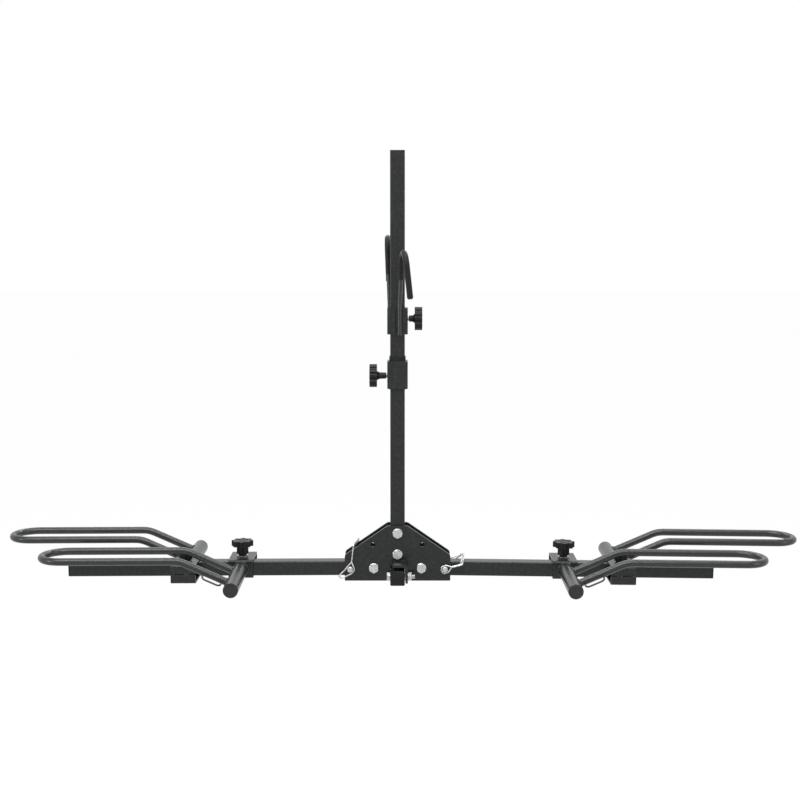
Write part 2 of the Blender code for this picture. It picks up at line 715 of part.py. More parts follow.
def make_hook_collar():
    """The sliding collar with its knob and the two padded frame hooks."""
    axis = new_empty("hook_collar_slide", (0, 0, HOOK_COLLAR_BOTTOM), parent=frame)
    outer = square_bar((0, 0, 0), (0, 0, HOOK_COLLAR_LENGTH), COLLAR, TUBE_CORNER)
    collar = new_piece("hook_collar", outer, powder_black, axis)
    bore = TUBE + 2 * SLIDE_FIT
    cut(collar, square_bar((0, 0, -OVERLAP), (0, 0, HOOK_COLLAR_LENGTH + OVERLAP), bore, TUBE_CORNER))
    cut(collar, cylinder((0, 0, HOOK_KNOB_UP), (COLLAR, 0, HOOK_KNOB_UP), PIN + BOLT_FIT))
    knob_axis = new_empty(
        "hook_collar_knob_axis", (COLLAR / 2 + FIT, 0, HOOK_KNOB_UP), (0, math.pi / 2, 0), axis
    )
    knob("hook_collar_knob", knob_axis, (COLLAR - TUBE) / 2, MAST_KNOB_NECK, HOOK_KNOB_NECK, [MAST_KNOB])
    for name, corners in HOOKS.items():
        make_hook(name, corners, axis)


def make_hook(name, corners, parent):
    """A bent steel rod welded to the collar, with a foam grip over its upper part."""
    foot = COLLAR / 2 + FIT + HOOK_ROD
    facing = HOOK_FACINGS[name]
    corners = [(x, facing * (foot + out), z - HOOK_COLLAR_BOTTOM) for x, out, z in corners]
    path = bent_path(corners, HOOK_BEND)
    new_piece(f"{name}_hook", rod(path, HOOK_ROD, HOOK_RINGS), powder_black, parent)
    start = GRIP_STARTS[name] - HOOK_COLLAR_BOTTOM
    grip_path = []
    for low, high in zip(path, path[1:]):
        if not grip_path and high.z > start:
            grip_path.append(low.lerp(high, (start - low.z) / (high.z - low.z)))
        if grip_path:
            grip_path.append(high)
    grip_path[-1] = path[-1] + (path[-2] - path[-1]).normalized() * GRIP_SHORT
    radius = HOOK_ROD + GRIP_FIT + GRIP_WALL
    tube = curve_mesh(
        [grip_path], "3D", False, bevel_depth=radius, bevel_resolution=HOOK_RINGS, use_fill_caps=False
    )
    grip = new_piece(f"{name}_hook_grip", tube, foam, parent)
    wall = grip.modifiers.new("wall", "SOLIDIFY")
    wall.thickness = GRIP_WALL
    wall.offset = -1
    wall.use_even_offset = True


def make_arm(name, side):
    """One folding arm with its cap, its lock pin and its two wheel holders."""
    turn = 0 if side["direction"] > 0 else math.pi
    sag = math.radians(side["sag"])
    viewer = -side["direction"]
    pivot = new_empty(
        f"{name}_arm_fold", (side["direction"] * PIVOT_X, 0, PIVOT_ABOVE_ARM), (0, sag, turn), frame
    )
    low = -PIVOT_ABOVE_ARM
    end = side["reach"] - PIVOT_X - CAP
    tube = square_bar((-ARM_INBOARD, 0, low), (end - FIT, 0, low), TUBE, TUBE_CORNER, TUBE_WALL)
    arm = new_piece(f"{name}_arm", tube, powder_black, pivot)
    cut(arm, cylinder((0, -TUBE, 0), (0, TUBE, 0), BOLT + BOLT_FIT))
    pin_x = LOCK_REACH * math.cos(sag) + PIVOT_ABOVE_ARM * math.sin(sag)
    pin_z = LOCK_REACH * math.sin(sag) - PIVOT_ABOVE_ARM * math.cos(sag)
    slot = open_slot((pin_x, pin_z), low - TUBE / 2 - OVERLAP, LOCK_SLOT_SWEEP, 0)
    cut(arm, placed(slab([slot], 2 * TUBE), (0, 0, 0), X_AXIS, Z_AXIS))
    square_cap(f"{name}_arm_cap", pivot, (end, 0, low), X_AXIS, TUBE_WALL)
    make_lock_pin(name, side)
    for place, facing in (("inner", viewer), ("outer", -viewer)):
        slide = new_empty(f"{name}_{place}_holder_slide", (side[place] - PIVOT_X, 0, low), parent=pivot)
        make_holder(f"{name}_{place}", slide, facing)


def make_lock_pin(name, side):
    """The pin that locks an arm level, with the wire bail that snaps over its tip."""
    place = side["direction"] * (PIVOT_X + LOCK_REACH)
    axis = new_empty(f"{name}_lock_pin_slide", (place, 0, 0), parent=frame)
    seat = PLATE_OUTER + FIT
    head = seat + LOCK_HEAD_LENGTH
    tip = PLATE_OUTER + LOCK_TIP_PAST
    profile = [
        (0, head),
        (LOCK_HEAD - LOCK_HEAD_CHAMFER, head),
        (LOCK_HEAD, head - LOCK_HEAD_CHAMFER),
        (LOCK_HEAD, seat),
        (PIN, seat),
        (PIN, PIN_CHAMFER - tip),
        (PIN - PIN_CHAMFER, -tip),
        (0, -tip),
    ]
    pin = new_piece(f"{name}_lock_pin", along(turned_mesh(profile), (0, 0, 0), -Y_AXIS), zinc, axis)
    make_bail(name, axis, (seat + head) / 2)


def make_bail(name, parent, depth):
    """The bent wire round a lock pin's head, which runs over the plates or the arm to the pin's tip."""
    route = {place: Vector((x, 0, z)) for place, (x, z) in BAILS[name].items()}
    axis = (route["neck"] - route["loop_end"]).normalized()
    aside = axis.cross(Y_AXIS)
    beside_head = LOCK_HEAD + BOLT_FIT + BAIL
    loop_half = min(beside_head, -route["loop_end"].dot(axis) * LOOP_TAPER)
    outward = (route["front_elbow"] - route["neck"]).normalized()
    to_tip = -route["back_elbow"].normalized()
    beside_tip = to_tip.cross(Y_AXIS) * (PIN + BAIL + BOLT_FIT)
    strands = []
    for strand in (1, -1):
        step = strand * BAIL_STRAND
        strands.append(
            [
                route["loop_end"] + strand * loop_half * aside - depth * Y_AXIS,
                -BAIL_SHOULDER * axis + strand * beside_head * aside - depth * Y_AXIS,
                BAIL_SHOULDER * axis + strand * beside_head * aside - depth * Y_AXIS,
                route["neck"] - (depth + step) * Y_AXIS,
                route["front_elbow"] + step * outward - (depth + step) * Y_AXIS,
                route["over"] + step * outward - PLATE_INNER * Y_AXIS,
                route["back_elbow"] + step * outward + (depth + step) * Y_AXIS,
                strand * beside_tip - to_tip * PIN + (depth + step) * Y_AXIS,
                strand * beside_tip + to_tip * PIN + (depth + step) * Y_AXIS,
            ]
        )
    corners = strands[0][::-1] + strands[1]
    bail = rod(bent_path(corners, BAIL_BEND, 2), BAIL, WIRE_RINGS)
    new_piece(f"{name}_pin_bail", bail, zinc, parent)


def make_holder(name, parent, facing):
    """One wheel holder: a clamp round the arm, a cross tube, a hoop for the wheel, and a knob."""
    make_clamp(name, parent, facing)
    make_cross_tube(name, parent, facing)
    make_hoop(name, parent, facing)
    axis = new_empty(f"{name}_clamp_knob_axis", (0, -facing * STUD_OFFSET, CLAMP_OUTER + FIT), parent=parent)
    stud = 2 * CLAMP_OUTER + FIT + WELD_NUT + STUD_PAST_NUT
    neck_radius, neck_height, bodies = CLAMP_KNOBS[name.split("_")[1]]
    knob(f"{name}_clamp_knob", axis, stud, neck_radius, neck_height, bodies)


def make_clamp(name, parent, facing):
    """A steel strap folded round the arm, split on its deep side, with a nut welded below."""
    lip = CLAMP_SPLIT / 2
    inner = CLAMP_DEPTH - CLAMP_STRAP
    corners = [
        (-CLAMP_DEPTH, -lip),
        (-CLAMP_DEPTH, -CLAMP_OUTER),
        (CLAMP_OUTER, -CLAMP_OUTER),
        (CLAMP_OUTER, CLAMP_OUTER),
        (-CLAMP_DEPTH, CLAMP_OUTER),
        (-CLAMP_DEPTH, lip),
        (-inner, lip),
        (-inner, CLAMP_INNER),
        (CLAMP_INNER, CLAMP_INNER),
        (CLAMP_INNER, -CLAMP_INNER),
        (-inner, -CLAMP_INNER),
        (-inner, -lip),
    ]
    radii = [0] + [CLAMP_CORNER] * 4 + [0, 0] + [CLAMP_CORNER - CLAMP_STRAP] * 4 + [0]
    outline = rounded(corners, radii)
    strap = placed(slab([outline], CLAMP_WIDTH), (0, 0, 0), (0, facing, 0), Z_AXIS)
    clamp = new_piece(f"{name}_clamp", strap, powder_black, parent)
    stud_y = -facing * STUD_OFFSET
    nut_low = -CLAMP_OUTER - WELD_NUT
    nut_top = OVERLAP - CLAMP_OUTER
    nut = cylinder((0, stud_y, nut_low), (0, stud_y, nut_top), WELD_NUT_FLATS / math.sqrt(3), 6)
    join(clamp, nut)
    cut(clamp, cylinder((0, stud_y, nut_low - OVERLAP), (0, stud_y, COLLAR), PIN + BOLT_FIT))


def make_cross_tube(name, parent, facing):
    """The round tube that stands out from the clamp, with its weld and end cap."""
    root = CLAMP_OUTER + FIT
    outer = TUBE / 2
    inner = outer - CROSS_TUBE_WALL
    profile = [
        (outer, CROSS_TUBE_END),
        (outer, root + WELD_RING),
        (outer + WELD_RING, root),
        (inner, root),
        (inner, CROSS_TUBE_END),
    ]
    tube = along(turned_mesh(profile, TUBE_SIDES), (0, 0, 0), (0, facing, 0))
    new_piece(f"{name}_cross_tube", tube, powder_black, parent)
    end = CROSS_TUBE_END + FIT
    plug = inner - FIT
    cap_profile = [
        (0, end + CAP),
        (outer - CAP_CHAMFER, end + CAP),
        (outer, end + CAP - CAP_CHAMFER),
        (outer, end),
        (plug, end),
        (plug, end - CAP_PLUG),
        (0, end - CAP_PLUG),
    ]
    cap = along(turned_mesh(cap_profile, TUBE_SIDES), (0, 0, 0), (0, facing, 0))
    new_piece(f"{name}_cross_tube_cap", cap, plastic, parent)


def make_hoop(name, parent, facing):
    """The rod hoop that holds a wheel, welded across the cross tube, with a wire strap loop."""
    near = HOOP_MIDDLE - HOOP_HALF_WIDTH
    far = HOOP_MIDDLE + HOOP_HALF_WIDTH
    tip_centre = HOOP_REACH - HOOP_HALF_WIDTH
    first = bent_path(
        [(0, near, 0), (HOOP_RISE, near, HOOP_HEIGHT), (tip_centre, near, HOOP_HEIGHT)], HOOP_BEND
    )
    last = bent_path(
        [(tip_centre, far, HOOP_HEIGHT), (HOOP_RISE, far, HOOP_HEIGHT), (0, far, 0)], HOOP_BEND
    )
    tip = []
    for n in range(1, TIP_STEPS):
        angle = math.pi * n / TIP_STEPS
        x = tip_centre + HOOP_HALF_WIDTH * math.sin(angle)
        tip.append(Vector((x, HOOP_MIDDLE - HOOP_HALF_WIDTH * math.cos(angle), HOOP_HEIGHT)))
    path = [Vector((x, facing * y, z)) for x, y, z in first + tip + last]
    hoop = new_piece(f"{name}_wheel_hoop", rod(path, HOOP_ROD), powder_black, parent)

    slope = HOOP_HEIGHT / HOOP_RISE
    out = far + LOOP_OUT
    corners = []
    for x, y in ((LOOP_START, far), (LOOP_START, out), (LOOP_END, out), (LOOP_END, far)):
        corners.append((x, facing * y, x * slope))
    join(hoop, rod(bent_path(corners, LOOP_BEND, 3), LOOP_WIRE, WIRE_RINGS))
    root = TUBE / 2 + FIT
    cope = cylinder((0, facing * (near - TUBE), 0), (0, facing * (far + TUBE), 0), root, TUBE_SIDES)
    cut(hoop, cope)


clear_scene()
rack = new_collection("platform_hitch_bike_rack")
cutters = new_collection("cutters")
powder_black = new_material("black_powder_coat", (0.028, 0.029, 0.031), 0.42, 0)
zinc = new_material("zinc_plating", (0.72, 0.72, 0.70), 0.30, 1)
plastic = new_material("black_plastic", (0.022, 0.022, 0.024), 0.55, 0)
foam = new_material("black_foam", (0.018, 0.018, 0.019), 0.9, 0)

tilt_axis = new_empty("tilt_axis", (0, TILT_Y, BAR_MIDDLE))
frame = new_empty(
    "frame_middle", (0, -PIN_TO_MAST - TILT_Y, ARM_HEIGHT - BAR_MIDDLE), parent=tilt_axis
)
make_hitch_bar()
make_tilt_lock_pin()
make_plates()
make_brackets()
make_lower_mast()
make_upper_mast()
make_hook_collar()
for side_name, side_sizes in SIDES.items():
    make_arm(side_name, side_sizes)
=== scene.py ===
"""The looks of a platform hitch bike rack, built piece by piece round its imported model."""
import json
import math

import bmesh
import bpy
from mathutils import Matrix, Vector


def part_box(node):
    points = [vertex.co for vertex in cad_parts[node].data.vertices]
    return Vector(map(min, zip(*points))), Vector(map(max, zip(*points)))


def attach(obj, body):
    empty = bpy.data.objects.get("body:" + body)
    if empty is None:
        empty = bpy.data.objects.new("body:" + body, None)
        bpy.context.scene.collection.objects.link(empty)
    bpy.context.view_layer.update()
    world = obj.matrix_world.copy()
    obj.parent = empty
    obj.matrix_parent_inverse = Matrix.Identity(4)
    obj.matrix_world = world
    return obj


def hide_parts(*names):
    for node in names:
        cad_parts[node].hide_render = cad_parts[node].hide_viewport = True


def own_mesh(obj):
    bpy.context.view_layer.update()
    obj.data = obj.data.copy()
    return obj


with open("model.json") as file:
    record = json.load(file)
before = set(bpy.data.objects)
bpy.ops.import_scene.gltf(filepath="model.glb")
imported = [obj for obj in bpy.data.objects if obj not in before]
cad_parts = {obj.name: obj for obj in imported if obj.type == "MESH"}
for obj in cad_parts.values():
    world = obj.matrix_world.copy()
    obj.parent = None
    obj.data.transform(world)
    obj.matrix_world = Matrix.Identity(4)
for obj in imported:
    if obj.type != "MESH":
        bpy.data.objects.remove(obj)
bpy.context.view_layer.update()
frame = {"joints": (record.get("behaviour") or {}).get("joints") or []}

# Hitch bar
# A length of 1 1/4 inch square steel tube with a thick wall, powder coated in black. It is sawn to
# length and drilled across for the hitch pin, the tilt bolt and the tilt lock pin.

X, Y, Z = (Vector(axis) for axis in ((1, 0, 0), (0, 1, 0), (0, 0, 1)))
SMOOTH_BELOW = math.radians(38)
TUBE_CORNER = 0.003  # radius of a square tube's outer corners
BORE_CORNER = 0.0008
SAWN_EDGE = 0.00035
FIT = 0.0003  # between pieces that touch
places = {joint["name"]: Vector(joint["pos_m"]) for joint in frame["joints"] if "pos_m" in joint}


class Wire:
    """A socket that can be used in sums."""

    def __init__(self, wiring, socket):
        self.wiring = wiring
        self.socket = socket

    def math(self, operation, first, second):
        """One of Blender's sums of two sockets or numbers."""
        return self.wiring.node("ShaderNodeMath", {"operation": operation}, {0: first, 1: second})

    def __add__(self, other):
        return self.math("ADD", self, other)

    def __sub__(self, other):
        return self.math("SUBTRACT", self, other)

    def __rsub__(self, other):
        return self.math("SUBTRACT", other, self)

    def __mul__(self, other):
        return self.math("MULTIPLY", self, other)

    __radd__ = __add__
    __rmul__ = __mul__

    def rising(self, low, high):
        """0 below one value and 1 above another, with a soft step between."""
        values = {"Value": self, "From Min": low, "From Max": high}
        return self.wiring.node("ShaderNodeMapRange", {"interpolation_type": "SMOOTHSTEP"}, values)


class Wiring:
    """A tree of shader nodes that is wired up in Python."""

    def __init__(self, tree):
        self.tree = tree

    def node(self, kind, settings=None, values=None, output=0):
        """A node of a kind, with its settings made first and then its sockets filled or linked."""
        made = self.tree.nodes.new(kind)
        for name, value in (settings or {}).items():
            setattr(made, name, value)
        self.feed(made, values or {})
        return Wire(self, made.outputs[output])

    def feed(self, made, values):
        """Fills or links a node's sockets."""
        for name, value in values.items():
            socket = made.inputs[name]
            if isinstance(value, Wire):
                self.tree.links.new(value.socket, socket)
            elif socket.type == "RGBA":
                socket.default_value = (*value, 1)
            else:
                socket.default_value = value


class Finish(Wiring):
    """One of the rack's finishes: a material wired up in Python, and the slot that it belongs to."""

    def __init__(self, name, slot):
        self.slot = slot
        self.material = bpy.data.materials.new(name)
        self.material.use_nodes = True
        super().__init__(self.material.node_tree)
        self.shader = self.tree.nodes["Principled BSDF"]
        self.place = self.node("ShaderNodeTexCoord", output="Object")

    def noise(self, scale, detail=2, roughness=0.5):
        """Cloudy noise with a number of blobs to the metre."""
        values = {"Vector": self.place, "Scale": scale, "Detail": detail, "Roughness": roughness}
        return self.node("ShaderNodeTexNoise", values=values)

    def mixed(self, amount, first, second):
        """One colour fading into another."""
        return self.node("ShaderNodeMix", {"data_type": "RGBA"}, {0: amount, 6: first, 7: second}, 2)

    def edge(self, radius):
        """1 on outer and inner edges and 0 on flat faces."""
        eased = self.node("ShaderNodeBevel", {"samples": 4}, {"Radius": radius})
        flat = self.node("ShaderNodeNewGeometry", output="Normal")
        return 1 - self.node("ShaderNodeVectorMath", {"operation": "DOT_PRODUCT"}, {0: eased, 1: flat}, 1)

    def coat(self, colour, roughness, height, depth, constants):
        """Feeds the shader, with height as relief of a depth in metres."""
        relief = self.node("ShaderNodeBump", values={"Strength": 1.0, "Distance": depth, "Height": height})
        values = {"Base Color": colour, "Roughness": roughness, "Normal": relief, **constants}
        self.feed(self.shader, values)
        return self


def powder_coat(name, grain_depth, speckle_and_edge_highlight, roughness, gloss):
    """Black powder coat: orange peel, a fine grain, faint clouds and a painted highlight that makes its
    edges paler.
    """
    finish = Finish(name, "black_powder_coat")
    peel = finish.noise(330, 2)
    grain = finish.noise(1300, 3, 0.6)
    cloud = finish.noise(14, 3)
    mottle = finish.noise(130, 4, 0.65)
    edge = finish.edge(0.0009).rising(0.03, 0.4)
    colour = finish.mixed(mottle.rising(0.35, 0.7), (0.0085, 0.0095, 0.0100), (0.0165, 0.0180, 0.0185))
    colour = finish.mixed(grain.rising(0.56, 0.74) * speckle_and_edge_highlight, colour, (0.040, 0.043, 0.044))
    # Painted highlight: edges are mixed towards a paler grey, standing in for the light that they catch.
    colour = finish.mixed(edge * 0.75 * speckle_and_edge_highlight, colour, (0.085, 0.090, 0.092))
    shine = roughness + 0.1 * (cloud - 0.5) + 0.06 * (grain - 0.5) - 0.04 * edge
    relief = 0.45 * peel + 0.55 * grain
    return finish.coat(colour, shine, relief, grain_depth, {"Specular IOR Level": gloss})


textured_black = powder_coat(
    "textured_black_powder_coat", grain_depth=0.00005, speckle_and_edge_highlight=0.6, roughness=0.27, gloss=0.29
)


def alone(piece):
    """Selects one piece and nothing else."""
    bpy.ops.object.select_all(action="DESELECT")
    bpy.context.view_layer.objects.active = piece
    piece.select_set(True)


def pick(piece, kind, test):
    """In edit mode, selects the faces or edges whose middle and direction pass a test."""
    bpy.ops.mesh.select_all(action="DESELECT")
    bpy.ops.mesh.select_mode(type=kind)
    shell = bmesh.from_edit_mesh(piece.data)
    if kind == "FACE":
        found = [f for f in shell.faces if test(f.calc_center_median(), f.normal)]
    else:
        ends = {e: (e.verts[0].co, e.verts[1].co) for e in shell.edges}
        found = [e for e, (a, b) in ends.items() if test((a + b) / 2, (b - a).normalized())]
    for part in found:
        part.select_set(True)
    bmesh.update_edit_mesh(piece.data)


def plain(add, scale=(1, 1, 1), **settings):
    """Adds one of Blender's plain meshes, scales it and fixes its placing in its points."""
    bpy.ops.object.select_all(action="DESELECT")
    add(**settings)
    bpy.context.object.scale = scale
    bpy.ops.object.transform_apply(location=True, rotation=True, scale=True)
    return bpy.context.object


def block(low, high):
    """A block between two corners."""
    low, high = Vector(low), Vector(high)
    return plain(bpy.ops.mesh.primitive_cube_add, high - low, size=1, location=(low + high) / 2)


def drum(start, end, radius, sides=48):
    """A cylinder from one point to another."""
    start, end = Vector(start), Vector(end)
    return plain(
        bpy.ops.mesh.primitive_cylinder_add,
        vertices=sides,
        radius=radius,
        depth=(end - start).length,
        location=(start + end) / 2,
        rotation=(end - start).to_track_quat("Z", "Y").to_euler(),
    )


def bevel_edges(piece, width, test, segments=6):
    """Rounds the edges that pass a test."""
    alone(piece)
    bpy.ops.object.mode_set(mode="EDIT")
    pick(piece, "EDGE", test)
    bpy.ops.mesh.bevel(offset=width, segments=segments, affect="EDGES")
    bpy.ops.object.mode_set(mode="OBJECT")


def finish_modifier(piece, kind, **settings):
    """Adds a modifier with its settings and applies it."""
    modifier = piece.modifiers.new("step", kind)
    for name, value in settings.items():
        setattr(modifier, name, value)
    alone(piece)
    bpy.ops.object.modifier_apply(modifier=modifier.name)


def combine(piece, tool, operation="DIFFERENCE"):
    """Cuts a shape from a piece, or joins it on, and throws the shape away."""
    finish_modifier(piece, "BOOLEAN", operation=operation, solver="EXACT", object=tool)
    bpy.data.objects.remove(tool)
    return piece


def soften(piece, width, segments=2):
    """Breaks a piece's sharp edges."""
    settings = {"width": width, "segments": segments, "limit_method": "ANGLE", "angle_limit": SMOOTH_BELOW}
    finish_modifier(piece, "BEVEL", **settings)
    return piece


def square_tube(low, high, axis, wall):
    """Square tube that fills a box, with rounded long edges and a bore along one axis."""
    low, high = Vector(low), Vector(high)
    inset = Vector((wall, wall, wall))
    inset[axis] = -wall
    bore = block(low + inset, high - inset)
    bevel_edges(bore, max(TUBE_CORNER - wall, BORE_CORNER), lambda middle, way: abs(way[axis]) > 0.99, 2)
    tube = block(low, high)
    bevel_edges(tube, TUBE_CORNER, lambda middle, way: abs(way[axis]) > 0.99)
    return soften(combine(tube, bore), SAWN_EDGE)


def settle(piece, name, body, finish, *nodes):
    """Names a finished piece, coats it and fixes it to its body in place of its plain solids."""
    alone(piece)
    bpy.ops.object.shade_smooth_by_angle(angle=SMOOTH_BELOW)
    finish_modifier(piece, "WEIGHTED_NORMAL", keep_sharp=True)
    piece.name = name
    piece.data.materials.clear()
    piece.data.materials.append(finish.material)
    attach(piece, body)
    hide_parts(*nodes)


def box_middle(node, axis):
    """Where the middle of a plain solid's box is along an axis."""
    return sum(corner[axis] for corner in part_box(node)) / 2


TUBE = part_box("hitch_bar")[1].x * 2  # side of the square tubes
BAR_WALL = 0.005
HITCH_HOLE = 0.00675  # radius
PIN = 0.005  # radius of the pins, studs and tilt bolt
BOLT = 0.006  # radius of the frame's bolts
TILT = places["tilt"]
TILT_LOCK_Y = box_middle("tilt_lock_pin", 1)
bar = square_tube(*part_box("hitch_bar"), 1, BAR_WALL)
for place, radius in ((0, HITCH_HOLE), (TILT.y, PIN + FIT), (TILT_LOCK_Y, PIN + FIT)):
    combine(bar, drum((-TUBE, place, TUBE / 2), (TUBE, place, TUBE / 2), radius))
settle(bar, "hitch_bar_tube", "hitch_bar", textured_black, "hitch_bar")

# End caps of the square tubes
# Black moulded plastic caps with a low crown and a hollow, ribbed plug that is pressed into the tube.
# The same cap closes the hitch bar, both arms and the mast.


def moulded_plastic(name, dark, light, gloss):
    """Matt black plastic with a fine spark-eroded grain, and a painted highlight that makes its edges a
    little paler.
    """
    finish = Finish(name, "black_plastic")
    grain = finish.noise(2400, 2, 0.7)
    flow = finish.noise(60, 3)
    edge = finish.edge(0.0006).rising(0.03, 0.5)
    colour = finish.mixed(flow.rising(0.3, 0.75), dark, light)
    # Painted highlight: edges and rib crests are mixed towards a paler grey, standing in for the light that
    # they catch.
    colour = finish.mixed(edge * 0.6, colour, (0.13, 0.133, 0.136))
    shine = 0.38 + 0.14 * (grain - 0.5) + 0.12 * (flow - 0.5) - 0.08 * edge
    return finish.coat(colour, shine, grain, 0.00002, {"Specular IOR Level": gloss})


plastic = moulded_plastic("moulded_black_plastic", (0.0035, 0.0037, 0.0039), (0.0070, 0.0073, 0.0078), 0.24)
CAP = 0.003  # thickness of a cap's flange
CROWN_EDGE = 0.0011
CAP_PLUG = 0.012  # length of its plug
PLUG_WALL = 0.0022
PLUG_RIB = 0.0004
PLUG_LEAD = 0.002  # from the plug's end to its ribs
PLUG_EDGE = 0.0008
AT_LEVEL = 0.0005  # an edge this near to a level is at it


def square_cap(wall):
    """A cap along Z: its crown stands on the tube's end at 0, and its ribbed, hollow plug hangs below."""
    half = TUBE / 2
    cap = block((-half, -half, 0), (half, half, CAP))
    bevel_edges(cap, TUBE_CORNER, lambda middle, way: abs(way.z) > 0.99)
    bevel_edges(cap, CROWN_EDGE, lambda middle, way: middle.z > CAP - AT_LEVEL, 4)
    outer = half - wall - PLUG_RIB
    inner = outer - PLUG_WALL
    plug = block((-outer, -outer, -CAP_PLUG), (outer, outer, CAP / 2))
    soften(plug, PLUG_EDGE)
    long_rib = outer + PLUG_RIB * 0.8
    foot = PLUG_LEAD - CAP_PLUG
    for n in (-1, 0, 1):
        rib_low = n * outer / 2 - PLUG_RIB
        rib_high = n * outer / 2 + PLUG_RIB
        combine(plug, block((rib_low, -long_rib, foot), (rib_high, long_rib, 0)), "UNION")
        combine(plug, block((-long_rib, rib_low, foot), (long_rib, rib_high, 0)), "UNION")
    combine(plug, block((-inner, -inner, -2 * CAP_PLUG), (inner, inner, -CAP)))
    return combine(cap, plug, "UNION")


def standing(piece, at, way):
    """Turns a piece that was made along Z to point another way, and moves it to its place."""
    turn = way.to_track_quat("Z", "Y").to_matrix().to_4x4()
    piece.data.transform(Matrix.Translation(at) @ turn)
    return piece


bar_cap = standing(square_cap(BAR_WALL), (0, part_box("hitch_bar")[0].y - FIT, TUBE / 2), -Y)
settle(bar_cap, "hitch_bar_end_cap", "hitch_bar", plastic, "hitch_bar_front_cap")

# Bolts and nuts
# Bright zinc plated hex flange bolts and nuts: two through the mast, one at each arm's pivot and a
# longer one that the frame tilts on. Heads are chamfered, and thread shows past each nut.


def zinc_plating():
    """Bright zinc: a pale metal with a cloudy, faintly blue and yellow sheen and fine handling marks."""
    finish = Finish("bright_zinc_plating", "zinc_plating")
    cloud = finish.noise(180, 3)
    bloom = finish.noise(420, 2)
    marks = finish.noise(1500, 4, 0.7)
    colour = finish.mixed(cloud.rising(0.3, 0.7), (0.46, 0.47, 0.48), (0.64, 0.63, 0.60))
    colour = finish.mixed(bloom.rising(0.52, 0.7) * 0.7, colour, (0.26, 0.26, 0.25))
    shine = 0.2 + 0.16 * cloud + 0.14 * marks
    return finish.coat(colour, shine, 0.5 * cloud + 0.5 * marks, 0.00001, {"Metallic": 1.0})


zinc = zinc_plating()
HEAD_HEIGHT = 0.42  # these four for a width of 1 across the flats
NUT_HEIGHT = 0.48
FLANGE_RADIUS = 0.58
CROWN_RADIUS = 0.56
FLANGE = 0.002
THREAD_PITCH = 0.0015
THREAD_DEPTH = 0.0007
DISH = 0.0008  # depth of the dish in a head
FASTENER_EDGE = 0.0002
FRAME_FLATS = 0.0185
FRAME_THREAD = 0.016  # length of thread
TILT_FLATS = 0.017
TILT_THREAD = 0.020


def turned(profile, sides=48):
    """A solid turned about Z: a disc is drawn up through the profile's (radius, height) points."""
    radius, height = profile[0]
    add = bpy.ops.mesh.primitive_circle_add
    plain(add, vertices=sides, radius=radius, fill_type="NGON", location=(0, 0, height))
    bpy.ops.object.mode_set(mode="EDIT")
    bpy.ops.mesh.select_all(action="SELECT")
    for next_radius, next_height in profile[1:]:
        step = (0, 0, next_height - height)
        bpy.ops.mesh.extrude_region_move(TRANSFORM_OT_translate={"value": step})
        share = next_radius / radius
        bpy.ops.transform.resize(value=(share, share, 1), center_override=(0, 0, next_height))
        radius, height = next_radius, next_height
    bpy.ops.mesh.select_all(action="SELECT")
    bpy.ops.mesh.normals_make_consistent(inside=False)
    bpy.ops.object.mode_set(mode="OBJECT")
    return bpy.context.object


def thread(radius, low, high):
    """Profile points of a thread between two heights."""
    turns = max(1, round((high - low) / THREAD_PITCH))
    pitch = (high - low) / turns
    points = []
    for n in range(turns):
        points.append((radius, low + pitch * (n + 0.15)))
        points.append((radius - THREAD_DEPTH, low + pitch * (n + 0.5)))
        points.append((radius, low + pitch * (n + 0.85)))
    return points


def hexagon(flats, low, high):
    """A hex prism whose upper corners are chamfered off."""
    prism = drum((0, 0, low), (0, 0, high), flats / math.sqrt(3), 6)
    reach = flats * CROWN_RADIUS
    drop = reach - flats / 2 + flats * 0.02
    crown = turned([(reach, low - FIT), (reach, high - drop * 0.6), (flats * 0.47, high + FIT)])
    return combine(prism, crown, "INTERSECT")


def flanged(flats, top):
    """A hexagon on a round flange, with its seat at 0."""
    flange = flats * FLANGE_RADIUS
    head = hexagon(flats, FLANGE / 2, top)
    disc = turned([(flange, 0), (flange, FLANGE * 0.45), (flange * 0.87, FLANGE)])
    return combine(head, disc, "UNION")


def flange_bolt(flats, radius, length, threaded):
    """A hex flange bolt along Z with its seat at 0, its head above and its shaft below."""
    top = flats * HEAD_HEIGHT
    head = flanged(flats, top)
    combine(head, turned([(flats * 0.26, top - DISH), (flats * 0.36, top + DISH / 2)]))
    tip = [(radius - THREAD_DEPTH, -length), (radius, THREAD_DEPTH - length)]
    grooves = thread(radius, THREAD_DEPTH - length, threaded - length)
    shaft = turned(tip + grooves + [(radius, FLANGE)], 32)
    return soften(combine(head, shaft, "UNION"), FASTENER_EDGE, 1)


def flange_nut(flats, radius):
    """A hex flange nut along Z with its seat at 0."""
    nut = flanged(flats, flats * NUT_HEIGHT)
    combine(nut, drum((0, 0, -FLANGE), (0, 0, flats), radius + FIT))
    return soften(nut, FASTENER_EDGE, 1)


def fasten(fastener, body, node, seat, way):
    """Puts a bolt or nut where its plain solid is."""
    settle(standing(fastener, seat, way), f"{node}_fastener", body, zinc, node)


